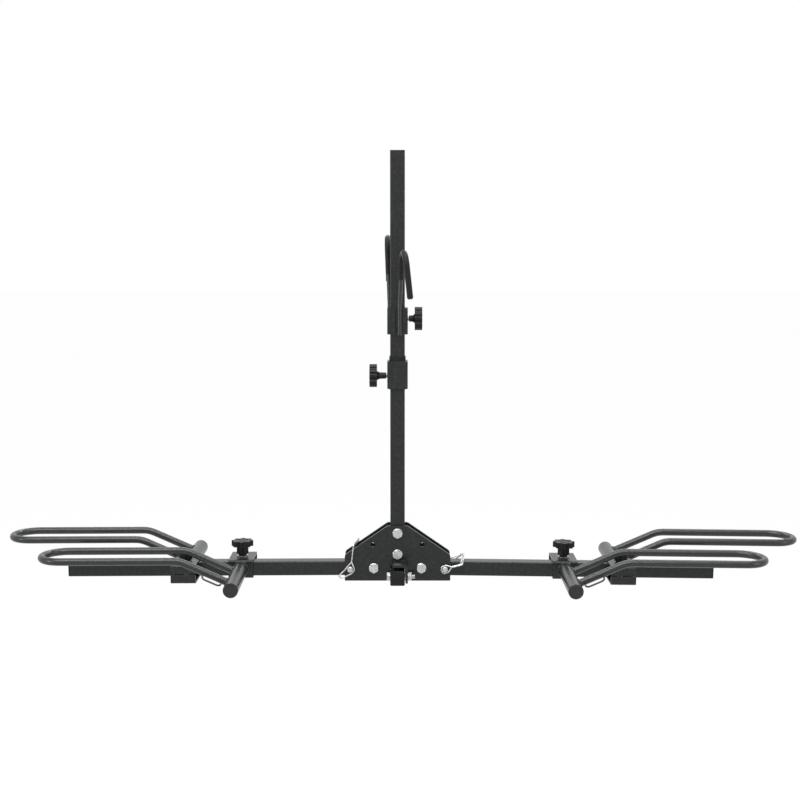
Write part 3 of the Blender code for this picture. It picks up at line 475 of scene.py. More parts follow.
MAST_Y = box_middle("upper_mast", 1)
PLATE_OUTER = MAST_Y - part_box("front_plate")[0].y  # from the mast's middle to a plate's outer face
BOLT_SEAT = PLATE_OUTER + FIT
for bolt, nut in (
    ("mast_bolt_upper", "mast_nut_upper"),
    ("mast_bolt_lower", "mast_nut_lower"),
    ("left_pivot_bolt", "left_pivot_nut"),
    ("right_pivot_bolt", "right_pivot_nut"),
):
    low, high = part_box(nut)
    at = (low + high) / 2
    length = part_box(bolt)[1].y - (MAST_Y - BOLT_SEAT)
    shaft = flange_bolt(FRAME_FLATS, BOLT, length, FRAME_THREAD)
    fasten(shaft, "frame", bolt, (at.x, MAST_Y - BOLT_SEAT, at.z), -Y)
    fasten(flange_nut(FRAME_FLATS, BOLT), "frame", nut, (at.x, MAST_Y + BOLT_SEAT, at.z), Y)
low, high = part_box("tilt_pivot_bolt")
seat_x = -TUBE / 2 - FIT
tilt_bolt = flange_bolt(TILT_FLATS, PIN, high.x - seat_x, TILT_THREAD)
fasten(tilt_bolt, "hitch_bar", "tilt_pivot_bolt", (seat_x, TILT.y, TILT.z), -X)
nut_seat = (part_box("tilt_pivot_nut")[0].x, TILT.y, TILT.z)
fasten(flange_nut(TILT_FLATS, PIN), "hitch_bar", "tilt_pivot_nut", nut_seat, X)

# Tilt lock pin
# A zinc plated quick-release pin with a cross handle, pushed through the rear bracket and the bar to
# hold the frame upright. A spring ball near its tip keeps it in.
low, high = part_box("tilt_lock_pin")
HANDLE = 0.0045  # radius of the cross handle
HANDLE_EDGE = 0.0018
PIN_COLLAR = 0.009
PIN_COLLAR_LENGTH = 0.003
PIN_TAPER = 0.002
PIN_WAIST = 0.0007  # how much thinner the pin is halfway to its handle
PIN_EDGE = 0.0003
BALL = 0.0016
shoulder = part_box("rear_hitch_bracket")[1].x + FIT
collar_top = shoulder + PIN_COLLAR_LENGTH
handle_x = high.x - HANDLE
pin_profile = [
    (PIN - PIN_TAPER, low.x),
    (PIN, low.x + PIN_TAPER),
    (PIN, shoulder),
    (PIN_COLLAR, shoulder),
    (PIN_COLLAR, collar_top),
    (HANDLE, collar_top),
    (HANDLE - PIN_WAIST, (collar_top + handle_x) / 2),
    (HANDLE, handle_x),
]
lock_pin = turned(pin_profile)
ball_at = (0, PIN - BALL / 4, low.x + 3 * PIN_TAPER)
ball = plain(
    bpy.ops.mesh.primitive_uv_sphere_add, segments=16, ring_count=8, radius=BALL, location=ball_at
)
combine(lock_pin, ball, "UNION")
standing(lock_pin, (0, TILT_LOCK_Y, TUBE / 2), X)
handle = drum((handle_x, TILT_LOCK_Y, low.z), (handle_x, TILT_LOCK_Y, high.z), HANDLE, 32)
half = (high.z - low.z) / 2
bevel_edges(handle, HANDLE_EDGE, lambda middle, way: abs(abs(middle.z - TUBE / 2) - half) < AT_LEVEL, 4)
combine(lock_pin, handle, "UNION")
settle(soften(lock_pin, PIN_EDGE), "tilt_lock_pin_steel", "tilt_lock_pin", zinc, "tilt_lock_pin")

# Frame plates
# Two 6 mm steel plates, laser cut to one outline and powder coated. They stand over the bar and
# sandwich the mast's foot and the arms, and the outer holes in them lock the arms down or folded.
PLATE_TOP_HALF = 0.022
SHOULDER_DROP = 0.065  # from a plate's top edge to its shoulder
PLATE_CORNER = 0.008
PLATE_FOOT_CORNER = 0.002
PLATE_EDGE = 0.0007
NOTCH_GAP = 0.0005  # between a plate and the bar's sides
NOTCH_CLEARANCE = 0.0012  # over the bar's top
ARM_Z = box_middle("left_lock_pin", 2)
PIVOT = places["right_arm_fold"]
LOCK_X = box_middle("right_lock_pin", 0)
LOCK_REACH = LOCK_X - PIVOT.x
PIVOT_LIFT = PIVOT.z - ARM_Z
mast_bolts = [box_middle(node, 2) for node in ("mast_nut_upper", "mast_nut_lower")]
holes = [(0, height, BOLT) for height in mast_bolts]
for side in (-1, 1):
    holes.append((side * PIVOT.x, PIVOT.z, BOLT))
    holes.append((side * LOCK_X, ARM_Z, PIN))
    holes.append((side * (PIVOT.x + PIVOT_LIFT), PIVOT.z + LOCK_REACH, PIN))
for node in ("front_plate", "rear_plate"):
    low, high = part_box(node)
    plate = block(low, high)
    shoulder_z = high.z - SHOULDER_DROP
    slope = Vector((high.x - PLATE_TOP_HALF, 0, shoulder_z - high.z))
    alone(plate)
    bpy.ops.object.mode_set(mode="EDIT")
    for side in (-1, 1):
        bpy.ops.mesh.select_all(action="SELECT")
        bpy.ops.mesh.bisect(
            plane_co=(side * high.x, low.y, shoulder_z),
            plane_no=(-side * slope.z, 0, slope.x),
            use_fill=True,
            clear_outer=True,
        )
    bpy.ops.object.mode_set(mode="OBJECT")
    steep = math.atan2(slope.x, -slope.z)
    corners = [
        (shoulder_z, PLATE_CORNER * math.tan(steep / 2), 8),
        (high.z, PLATE_CORNER * math.tan((math.pi / 2 - steep) / 2), 8),
        (low.z, PLATE_FOOT_CORNER, 4),
    ]
    for level, reach, steps in corners:
        bevel_edges(
            plate, reach, lambda middle, way: abs(way.y) > 0.99 and abs(middle.z - level) < AT_LEVEL, steps
        )
    notch = TUBE / 2 + NOTCH_GAP
    notch_low = (-notch, low.y - TUBE, low.z - TUBE)
    combine(plate, block(notch_low, (notch, high.y + TUBE, TUBE + NOTCH_CLEARANCE)))
    for x, z, radius in holes:
        combine(plate, drum((x, low.y - TUBE, z), (x, high.y + TUBE, z), radius + FIT))
    soften(plate, PLATE_EDGE, 3)
    settle(plate, f"{node}_steel", "frame", textured_black, node)

# Hitch brackets
# Brackets folded from 5 mm steel and welded to the plates over the bar. The front one has one ear
# with the tilt bolt through it, and the rear one has two, slotted below for the tilt lock pin.
BRACKET = 0.005
BRACKET_BEND = 0.0025  # radius at the sheet's middle
SHEET_EDGE = 0.0006
BRACKET_WELD = 0.0016
BEAD_UP = 0.0006  # of a bead's middle over its bracket
BEAD_IN = 0.0004  # of its middle from its bracket's face
BEAD_START = 0.002  # from the front bracket's open edge
BEAD_STOP = 0.003  # from the middle of an ear
RIPPLE = 0.0016  # pitch of the ripples in a weld
STITCH = 0.0004  # between a weld's points
SAME_PLACE = 0.000005  # points nearer than this are one
BEND_STEPS = 8  # in a right-angled bend
ALMOST_STRAIGHT = 0.02  # a corner that turns less than this, in radians, isn't bent


def run_along(corners, bends):
    """Extrudes what is selected along a path of corners, and spins it round each bend."""
    place = corners[0]
    for n, (before, corner, after) in enumerate(zip(corners, corners[1:], corners[2:])):
        bend = bends[n] if isinstance(bends, list) else bends
        incoming = (corner - before).normalized()
        outgoing = (after - corner).normalized()
        angle = incoming.angle(outgoing)
        if angle < ALMOST_STRAIGHT:
            continue
        room = min((corner - before).length, (after - corner).length) / 2
        reach = min(bend * math.tan(angle / 2), room)
        bend = reach / math.tan(angle / 2)
        start = corner - incoming * reach
        if (start - place).length > SAME_PLACE:
            bpy.ops.mesh.extrude_region_move(TRANSFORM_OT_translate={"value": start - place})
        axis = incoming.cross(outgoing).normalized()
        centre = start + axis.cross(incoming) * bend
        count = max(2, math.ceil(BEND_STEPS * angle / (math.pi / 2)))
        bpy.ops.mesh.spin(steps=count, angle=-angle, center=centre, axis=axis)
        place = corner + outgoing * reach
    bpy.ops.mesh.extrude_region_move(TRANSFORM_OT_translate={"value": corners[-1] - place})


def close_up():
    """Merges points in one place, turns the faces outwards and leaves edit mode."""
    bpy.ops.mesh.select_all(action="SELECT")
    bpy.ops.mesh.remove_doubles(threshold=SAME_PLACE)
    bpy.ops.mesh.normals_make_consistent(inside=False)
    bpy.ops.object.mode_set(mode="OBJECT")


def folded_strip(corners, across, width, thickness, bend):
    """Sheet steel folded along a path of corners, with a width across it."""
    corners = [Vector(corner) for corner in corners]
    along = (corners[1] - corners[0]).normalized()
    first = corners[0] + along * thickness / 2
    turn = Matrix((along, across, along.cross(across))).transposed().to_euler()
    middle = (corners[0] + first) / 2
    add = bpy.ops.mesh.primitive_plane_add
    strip = plain(add, (thickness / 2, width, 1), size=1, location=middle, rotation=turn)
    bpy.ops.object.mode_set(mode="EDIT")
    pick(strip, "EDGE", lambda middle, way: (middle - first).length < thickness / 10)
    run_along([first] + corners[1:], bend)
    close_up()
    finish_modifier(strip, "SOLIDIFY", thickness=thickness, offset=0, use_even_offset=True)
    return strip


def weld_bead(piece, line, radius, closed=True):
    """Lays a rippled bead of weld along a line of points and joins it to a piece."""
    line = [Vector(point) for point in line]
    curve = bpy.data.curves.new("bead", "CURVE")
    curve.dimensions = "3D"
    curve.bevel_depth = radius
    curve.bevel_resolution = 2
    curve.use_fill_caps = not closed
    spline = curve.splines.new("POLY")
    spline.points.add(len(line) - 1)
    spline.use_cyclic_u = closed
    run = 0
    for n, point in enumerate(line):
        run += (point - line[n - 1]).length if n else 0
        spline.points[n].co = (*point, 1)
        spline.points[n].radius = 0.82 + 0.2 * abs(math.sin(math.pi * run / RIPPLE))
    bead = bpy.data.objects.new("bead", curve)
    bpy.context.scene.collection.objects.link(bead)
    alone(bead)
    bpy.ops.object.convert(target="MESH")
    bpy.ops.object.mode_set(mode="EDIT")
    close_up()
    piece.select_set(True)
    bpy.context.view_layer.objects.active = piece
    bpy.ops.object.join()


def stitched(corners):
    """Points at every stitch along straight runs between corners."""
    corners = [Vector(corner) for corner in corners]
    line = []
    for start, end in zip(corners, corners[1:]):
        count = max(1, round((end - start).length / STITCH))
        line.extend(start.lerp(end, n / count) for n in range(count))
    return line + [corners[-1]]


def straight_weld(piece, start, end, radius):
    """Lays a straight bead of weld between two points."""
    weld_bead(piece, stitched([start, end]), radius, False)


front_low, front_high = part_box("front_hitch_bracket")
rear_low, rear_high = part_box("rear_hitch_bracket")
ear_x = front_high.x - BRACKET / 2
web_z = front_high.z - BRACKET / 2
middle_y = box_middle("front_hitch_bracket", 1)
front_path = [(front_low.x, middle_y, web_z), (ear_x, middle_y, web_z), (ear_x, middle_y, front_low.z)]
front_bracket = folded_strip(front_path, Y, front_high.y - front_low.y, BRACKET, BRACKET_BEND)
combine(front_bracket, drum((0, TILT.y, TILT.z), (TUBE * 2, TILT.y, TILT.z), PIN + FIT))
soften(front_bracket, SHEET_EDGE, 3)
weld_z = front_high.z + BEAD_UP
weld_y = front_high.y - BEAD_IN
weld_end = (ear_x - BEAD_STOP, weld_y, weld_z)
straight_weld(front_bracket, (front_low.x + BEAD_START, weld_y, weld_z), weld_end, BRACKET_WELD)
settle(front_bracket, "front_hitch_bracket_steel", "frame", textured_black, "front_hitch_bracket")

middle_y = box_middle("rear_hitch_bracket", 1)
rear_path = [
    (-ear_x, middle_y, rear_low.z),
    (-ear_x, middle_y, web_z),
    (ear_x, middle_y, web_z),
    (ear_x, middle_y, rear_low.z),
]
rear_bracket = folded_strip(rear_path, Y, rear_high.y - rear_low.y, BRACKET, BRACKET_BEND)
slot_x = 2 * ear_x
combine(rear_bracket, drum((-slot_x, TILT_LOCK_Y, TUBE / 2), (slot_x, TILT_LOCK_Y, TUBE / 2), PIN + FIT))
slot_low = (-slot_x, TILT_LOCK_Y - PIN - FIT, rear_low.z - PIN)
combine(rear_bracket, block(slot_low, (slot_x, TILT_LOCK_Y + PIN + FIT, TUBE / 2)))
soften(rear_bracket, SHEET_EDGE, 3)
weld_y = rear_low.y + BEAD_IN
weld_end = (ear_x - BEAD_STOP, weld_y, weld_z)
straight_weld(rear_bracket, (-ear_x + BEAD_STOP, weld_y, weld_z), weld_end, BRACKET_WELD)
settle(rear_bracket, "rear_hitch_bracket_steel", "frame", textured_black, "rear_hitch_bracket")

# Mast
# The lower mast is bolted between the plates and has a larger square sleeve welded round its top. The
# upper mast stands in the sleeve, in a plastic bushing, and its top is capped.
TUBE_WALL = 0.0025
SLEEVE_WALL = 0.0032
MAST_WELD = 0.0019
MAST_WELD_OUT = 0.0005  # of its middle from the tube
SEAM_X = -0.0042
SEAM = 0.0018
LIP_HALF = 0.01775  # half the side of the bushing's lip
lower_mast = square_tube(*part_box("lower_mast"), 2, TUBE_WALL)
for height in mast_bolts:
    combine(lower_mast, drum((0, MAST_Y - TUBE, height), (0, MAST_Y + TUBE, height), BOLT + FIT))
sleeve_low, sleeve_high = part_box("mast_sleeve")
reach = TUBE / 2 + MAST_WELD_OUT
ring = [(-reach, -reach), (reach, -reach), (reach, reach), (-reach, reach), (-reach, -reach)]
weld_bead(lower_mast, stitched([(x, MAST_Y + y, sleeve_low.z) for x, y in ring])[:-1], MAST_WELD)
settle(lower_mast, "lower_mast_tube", "frame", textured_black, "lower_mast")

knob_at = places["mast_sleeve_knob_turn"]
sleeve = square_tube(sleeve_low, sleeve_high, 2, SLEEVE_WALL)
combine(sleeve, drum((-TUBE, MAST_Y, knob_at.z), (0, MAST_Y, knob_at.z), PIN + FIT))
seam_y = sleeve_low.y + SEAM / 3
straight_weld(sleeve, (SEAM_X, seam_y, sleeve_low.z + SEAM), (SEAM_X, seam_y, sleeve_high.z - SEAM), SEAM)
settle(sleeve, "mast_sleeve_steel", "frame", textured_black, "mast_sleeve")

low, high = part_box("mast_sleeve_bushing")
bushing = square_tube(low, (high.x, high.y, sleeve_high.z), 2, high.x - TUBE / 2 - FIT)
lip_low = (-LIP_HALF, MAST_Y - LIP_HALF, sleeve_high.z - FIT)
lip = square_tube(lip_low, (LIP_HALF, MAST_Y + LIP_HALF, high.z), 2, LIP_HALF - TUBE / 2 - FIT)
combine(bushing, lip, "UNION")
combine(bushing, drum((-TUBE, MAST_Y, knob_at.z), (0, MAST_Y, knob_at.z), PIN + FIT))
settle(bushing, "mast_sleeve_bushing_plastic", "frame", plastic, "mast_sleeve_bushing")

upper_mast = square_tube(*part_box("upper_mast"), 2, TUBE_WALL)
settle(upper_mast, "upper_mast_tube", "upper_mast", textured_black, "upper_mast")
mast_cap = standing(square_cap(TUBE_WALL), (0, MAST_Y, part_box("upper_mast")[1].z + FIT), Z)
settle(mast_cap, "upper_mast_end_cap", "upper_mast", plastic, "upper_mast_cap")

# Mast knobs
# Black plastic knobs with twelve flutes on a moulded hub. One jams the upper mast in its sleeve and
# the other one holds the hook collar, each by a steel stud.


def fluted(radius, low, high, flutes, flute, bite, rim):
    """A knob's body along Z: a drum with round flutes bitten out of its side and rounded rims."""
    body = drum((0, 0, low), (0, 0, high), radius, 96)
    for n in range(flutes):
        turn = 2 * math.pi * (n + 0.5) / flutes
        reach = radius + flute - bite
        place = Vector((reach * math.cos(turn), reach * math.sin(turn), 0))
        combine(body, drum(place + (low - rim) * Z, place + (high + rim) * Z, flute, 32))
    return soften(body, rim, 3)


KNOB_RADIUS = 0.025
KNOB_HEIGHT = 0.0162
axes = {joint["name"]: Vector(joint["axis"]) for joint in frame["joints"]}
for node in ("mast_sleeve_knob", "hook_collar_knob"):
    seat = places[f"{node}_turn"]
    way = axes[f"{node}_turn"]
    low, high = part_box(node)
    top = max(abs(low.x), abs(high.x)) - abs(seat.x)
    foot = top - KNOB_HEIGHT
    knob = fluted(KNOB_RADIUS, foot, top, flutes=12, flute=0.0046, bite=0.0032, rim=0.0012)
    hub_profile = [
        (0.0060, 0.0022),
        (0.0068, 0.0030),
        (0.0072, foot * 0.7),
        (0.0084, foot * 0.85),
        (0.0115, foot + 0.001),
    ]
    combine(knob, turned(hub_profile), "UNION")
    dish = turned([(0.0105, top - 0.0009), (0.0115, top + 0.001)])
    combine(knob, dish)
    settle(standing(knob, seat, way), f"{node}_plastic", node, plastic, node)
    stud_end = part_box("hook_collar")[1].x - TUBE / 2
    stud = turned(thread(PIN, -stud_end, foot * 0.45) + [(PIN, foot * 0.5)], 32)
    settle(standing(stud, seat, way), f"{node}_stud", node, zinc)

# Hook collar and frame hooks
# A square steel collar that slides on the upper mast. Two bent rods are welded to its front and rear
# faces, and each wears a foam grip over the hook that holds a bicycle's frame.
HOOK_ROD = 0.005
HOOK_BEND = 0.028
HOOK_TIP_EDGE = 0.0012
HOOK_WELD = 0.0017
HOOK_WELD_OUT = 0.0008  # of its middle from the collar
HOOK_WELD_STOP = 0.004  # from the collar's ends
SLIDE_FIT = 0.000425  # between a tube and what slides on it
GROOVE_LEFT = -0.0058
GROOVE_RIGHT = -0.0008
GRIP = 0.0066
GRIP_WALL = 0.0012
GRIP_EDGE = 0.0004
BARE_TIP = 0.002
GRIP_STARTS = {"front": 0.633, "rear": 0.643}  # over the arms
HOOK_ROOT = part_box("hook_collar")[1].y - MAST_Y + FIT + HOOK_ROD
# Each corner's place across, its distance out from the rod's welded foot, and its height over the arms
HOOKS = {
    "front": [
        (0.0045, 0, 0.514),
        (0.0045, 0, 0.575),
        (0.0095, 0.003475, 0.690),
        (0.0165, 0.061475, 0.690),
        (0.027, 0.064475, 0.594),
    ],
    "rear": [
        (-0.0165, 0, 0.514),
        (-0.0168, 0, 0.575),
        (-0.022, 0.003475, 0.722),
        (-0.0205, 0.060475, 0.722),
        (-0.0195, 0.060475, 0.625),
    ],
}


def foam_rubber():
    """Black closed-cell foam: soft pits and pores, dusty on its high spots."""
    finish = Finish("black_foam", "black_foam")
    pores = finish.node("ShaderNodeTexVoronoi", values={"Vector": finish.place, "Scale": 900.0})
    pits = finish.noise(2600, 3, 0.7)
    dust = finish.noise(45, 4)
    skin = pores.rising(0.05, 0.5)
    colour = finish.mixed(skin, (0.003, 0.003, 0.0032), (0.008, 0.008, 0.0084))
    colour = finish.mixed(dust.rising(0.5, 0.85) * 0.4, colour, (0.03, 0.03, 0.03))
    relief = 0.6 * skin + 0.4 * pits
    dull = {"Specular IOR Level": 0.18, "Sheen Weight": 0.2, "Sheen Roughness": 0.3}
    return finish.coat(colour, 0.36 + 0.26 * pits, relief, 0.00012, dull)


foam = foam_rubber()


def round_rod(corners, radius, bends, sides=20, filled=True):
    """A round rod bent along a path of corners."""
    corners = [Vector(corner) for corner in corners]
    turn = (corners[1] - corners[0]).to_track_quat("Z", "Y").to_euler()
    fill = "NGON" if filled else "NOTHING"
    add = bpy.ops.mesh.primitive_circle_add
    rod = plain(add, vertices=sides, radius=radius, fill_type=fill, location=corners[0], rotation=turn)
    bpy.ops.object.mode_set(mode="EDIT")
    bpy.ops.mesh.select_all(action="SELECT")
    run_along(corners, bends)
    close_up()
    return rod


low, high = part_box("hook_collar")
collar = square_tube(low, high, 2, high.x - TUBE / 2 - SLIDE_FIT)
knob_at = places["hook_collar_knob_turn"]
combine(collar, drum((0, MAST_Y, knob_at.z), (2 * TUBE, MAST_Y, knob_at.z), PIN + FIT))
groove_low = (GROOVE_LEFT, low.y - 0.01, low.z - 0.01)
combine(collar, block(groove_low, (GROOVE_RIGHT, low.y + 0.01, high.z + 0.01)))
for side, weld_y, edges in (
    ("front", low.y - HOOK_WELD_OUT, (1,)),
    ("rear", high.y + HOOK_WELD_OUT, (-1, 1)),
):
    for edge in edges:
        weld_x = HOOKS[side][0][0] + edge * HOOK_ROD * 0.8
        weld_end = (weld_x, weld_y, high.z - HOOK_WELD_STOP)
        straight_weld(collar, (weld_x, weld_y, low.z + HOOK_WELD_STOP), weld_end, HOOK_WELD)
settle(collar, "hook_collar_steel", "hook_collar", textured_black, "hook_collar")
satin_black = powder_coat(
    "satin_black_powder_coat", grain_depth=0.000002, speckle_and_edge_highlight=0.02, roughness=0.30, gloss=0.50
)
for side, facing in (("front", -1), ("rear", 1)):
    corners = [Vector((x, MAST_Y + facing * (HOOK_ROOT + out), ARM_Z + z)) for x, out, z in HOOKS[side]]
    rod = soften(round_rod(corners, HOOK_ROD, HOOK_BEND), HOOK_TIP_EDGE, 3)
    settle(rod, f"{side}_hook_rod", "hook_collar", satin_black, f"{side}_hook")
    bare = (ARM_Z + GRIP_STARTS[side] - corners[1].z) / (corners[2].z - corners[1].z)
    start = corners[1].lerp(corners[2], bare)
    tip = corners[-1] + (corners[-2] - corners[-1]).normalized() * BARE_TIP
    grip = round_rod([start, *corners[2:-1], tip], GRIP, HOOK_BEND, 28, False)
    finish_modifier(grip, "SOLIDIFY", thickness=GRIP_WALL, offset=-1, use_even_offset=True)
    soften(grip, GRIP_EDGE)
    settle(grip, f"{side}_hook_foam", "hook_collar", foam, f"{side}_hook_grip")

# Folding arms
# Square tubes that turn on their pivot bolts between the plates. A lock pin through the plates holds
# each one level, and its outer end is capped.
ARM_INBOARD = 0.020
SLOT_SWEEP = 0.0045  # how far the lock pin's slot opens inboard
for side, way in (("left", -1), ("right", 1)):
    body = f"{side}_arm"
    outward = axes[f"{side}_outer_holder_slide"]
    up = axes[f"{side}_outer_clamp_knob_turn"]
    arm_frame = Matrix((outward, up.cross(outward), up)).transposed().to_4x4()
    arm_frame.translation = places[f"{side}_arm_fold"]
    pin = arm_frame.inverted() @ Vector((way * LOCK_X, MAST_Y, ARM_Z))
    low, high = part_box(f"{side}_arm_cap")
    reach = (max(abs(low.x), abs(high.x)) - PIVOT.x) / abs(outward.x) - CAP
    middle = -PIVOT_LIFT
    arm_low = (-ARM_INBOARD, -TUBE / 2, middle - TUBE / 2)
    arm = square_tube(arm_low, (reach - FIT, TUBE / 2, middle + TUBE / 2), 0, TUBE_WALL)
    combine(arm, drum((0, -TUBE, 0), (0, TUBE, 0), BOLT + FIT))
    combine(arm, drum((pin.x, -TUBE, pin.z), (pin.x, TUBE, pin.z), PIN + FIT))
    gap = PIN + FIT
    combine(arm, block((pin.x - gap - SLOT_SWEEP, -TUBE, -TUBE), (pin.x + gap, TUBE, pin.z)))
    arm.data.transform(arm_frame)
    settle(arm, f"{side}_arm_tube", body, textured_black, f"{side}_arm")
    cap = standing(square_cap(TUBE_WALL), (reach, 0, middle), X)
    cap.data.transform(arm_frame)
    settle(cap, f"{side}_arm_end_cap", body, plastic, f"{side}_arm_cap")

# Lock pins and bails
# Zinc plated pins through the plates and the arms. A bent wire bail swings over from each pin's head
# and snaps over its tip. Being a spring, it gives way when the pin is drawn.
LOCK_HEAD = 0.0062
LOCK_HEAD_LENGTH = 0.010
LOCK_TIP_PAST = 0.015
BAIL = 0.0016
BAIL_BEND = 0.004
BAIL_STRAND = 0.00185
BAIL_SHOULDER = 0.005
LOOP_TAPER = 0.16
BAIL_DEPTH = PLATE_OUTER + FIT + LOCK_HEAD_LENGTH / 2
BAIL_OVER = TUBE / 2 + FIT
# Each bend's place across and up from the pin
BAILS = {
    "left": {
        "loop_end": (-0.0225, -0.0175),
        "neck": (0.0032, 0.0165),
        "front_elbow": (0.0076, 0.0533),
        "over": (0.0095, 0.0545),
        "back_elbow": (0.0175, 0.056),
    },
    "right": {
        "loop_end": (-0.00764, -0.0027),
        "neck": (0.0156, 0.0055),
        "front_elbow": (0.0363, 0.0108),
        "over": (0.0385, 0.0185),
        "back_elbow": (0.042, 0.023),
    },
}
for side, way in (("left", -1), ("right", 1)):
    seat = PLATE_OUTER + FIT
    head = seat + LOCK_HEAD_LENGTH
    tip = PLATE_OUTER + LOCK_TIP_PAST
    pin_profile = [
        (PIN - PIN_TAPER, -tip),
        (PIN, PIN_TAPER - tip),
        (PIN, seat),
        (LOCK_HEAD - 0.0004, seat),
        (LOCK_HEAD, seat + 0.0004),
        (LOCK_HEAD, seat + LOCK_HEAD_LENGTH * 0.3),
        (LOCK_HEAD - 0.0006, seat + LOCK_HEAD_LENGTH * 0.36),
        (LOCK_HEAD - 0.0006, seat + LOCK_HEAD_LENGTH * 0.64),
        (LOCK_HEAD, seat + LOCK_HEAD_LENGTH * 0.7),
        (LOCK_HEAD, head - 0.0015),
        (LOCK_HEAD - 0.0015, head),
        (0.0022, head),
        (0.0010, head - 0.0008),
    ]
    place = Vector((way * LOCK_X, MAST_Y, ARM_Z))
    pin = standing(turned(pin_profile), place, -Y)
    settle(pin, f"{side}_lock_pin_steel", f"{side}_lock_pin", zinc, f"{side}_lock_pin")

    route = {name: Vector((x, 0, z)) for name, (x, z) in BAILS[side].items()}
    axis = (route["neck"] - route["loop_end"]).normalized()
    aside = axis.cross(Y)
    beside_head = LOCK_HEAD + FIT + BAIL
    loop_half = min(beside_head, -route["loop_end"].dot(axis) * LOOP_TAPER)
    outward = (route["front_elbow"] - route["neck"]).normalized()
    to_tip = -route["back_elbow"].normalized()
    beside_tip = to_tip.cross(Y) * (PIN + BAIL + FIT)
    strands = []
    for strand in (1, -1):
        step = strand * BAIL_STRAND
        deep = (BAIL_DEPTH + step) * Y
        strands.append(
            [
                route["loop_end"] + strand * loop_half * aside - BAIL_DEPTH * Y,
                -BAIL_SHOULDER * axis + strand * beside_head * aside - BAIL_DEPTH * Y,
                BAIL_SHOULDER * axis + strand * beside_head * aside - BAIL_DEPTH * Y,
                route["neck"] - deep,
                route["front_elbow"] + step * outward - deep,
                route["over"] + step * outward - BAIL_OVER * Y,
                route["back_elbow"] + step * outward + deep,
                strand * beside_tip - to_tip * PIN + deep,
                strand * beside_tip + to_tip * PIN + deep,
            ]
        )
    bail = round_rod([place + point for point in strands[0][::-1] + strands[1]], BAIL, BAIL_BEND, 12)
    settle(bail, f"{side}_bail_wire", f"{side}_lock_pin", zinc, f"{side}_pin_bail")
    tuple(place - BAIL_DEPTH * Y)
    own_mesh(bail)

# Wheel holder clamps
# A 4 mm steel strap is folded round the arm and left split on its deep side. A stud through a nut
# welded below pulls it tight, and the cross tube is welded to its other side.
CLAMP_STRAP = 0.004
CLAMP_CORNER = 0.005
CLAMP_DEPTH = 0.066
CLAMP_WIDTH = 0.0545
CLAMP_SPLIT = 0.0015
CLAMP_OUTER = TUBE / 2 + SLIDE_FIT + CLAMP_STRAP
STUD_OFFSET = 0.022
WELD_NUT = 0.0076
WELD_NUT_FLATS = 0.017
NUT_WELD = 0.0013
NUT_WELD_OUT = 0.0002  # of its middle from the nut and from the strap
NUT_SUNK = 0.0004  # into the strap
deep = CLAMP_DEPTH - CLAMP_STRAP / 2
near = CLAMP_OUTER - CLAMP_STRAP / 2
lip = CLAMP_SPLIT / 2
strap_path = [
    (0, -deep, -lip),
    (0, -deep, -near),
    (0, near, -near),
    (0, near, near),
    (0, -deep, near),
    (0, -deep, lip),
]
clamp = folded_strip(strap_path, X, CLAMP_WIDTH, CLAMP_STRAP, CLAMP_CORNER - CLAMP_STRAP / 2)
soften(clamp, SHEET_EDGE, 3)
nut = hexagon(WELD_NUT_FLATS, 0, WELD_NUT)
under_strap = Matrix.Translation((0, -STUD_OFFSET, -CLAMP_OUTER + NUT_SUNK))
nut.data.transform(under_strap @ Matrix.Diagonal((1, 1, -1, 1)))
nut.data.flip_normals()
combine(clamp, nut, "UNION")
combine(clamp, drum((0, -STUD_OFFSET, -2 * TUBE), (0, -STUD_OFFSET, 2 * TUBE), PIN + FIT))
ring = []
for n in range(96):
    turn = 2 * math.pi * n / 96
    sixth = (turn + math.pi / 6) % (math.pi / 3) - math.pi / 6
    reach = WELD_NUT_FLATS / 2 / math.cos(sixth) + NUT_WELD_OUT
    weld_y = -STUD_OFFSET + reach * math.cos(turn)
    ring.append((reach * math.sin(turn), weld_y, -CLAMP_OUTER - NUT_WELD_OUT))
weld_bead(clamp, ring, NUT_WELD)

# The holders' frames: X out along the arm, Y away from it and Z up along the clamp's stud
holders = {}
for side in ("left", "right"):
    for place in ("inner", "outer"):
        along = axes[f"{side}_{place}_holder_slide"]
        up = axes[f"{side}_{place}_clamp_knob_turn"]
        stud = places[f"{side}_{place}_clamp_knob_turn"]
        away = Y if stud.y < MAST_Y else -Y
        holder_frame = Matrix((along, away, up)).transposed().to_4x4()
        origin = stud - up * (CLAMP_OUTER + FIT)
        holder_frame.translation = Vector((origin.x, MAST_Y, origin.z))
        holders[f"{side}_{place}"] = holder_frame


def share_out(master, ending, finish, replaced, body="holder", only=("inner", "outer")):
    """Copies a piece that was made in a holder's frame to each of the holders, and throws it away."""
    for name, holder_frame in holders.items():
        if name.split("_")[1] not in only:
            continue
        twin = master.copy()
        twin.data = master.data.copy()
        bpy.context.scene.collection.objects.link(twin)
        twin.data.transform(holder_frame)
        if holder_frame.determinant() < 0:
            twin.data.flip_normals()
        nodes = [f"{name}_{node}" for node in replaced]
        settle(twin, f"{name}_{ending}", f"{name}_{body}", finish, *nodes)
    bpy.data.objects.remove(master)


share_out(clamp, "clamp_strap", textured_black, ["clamp"])

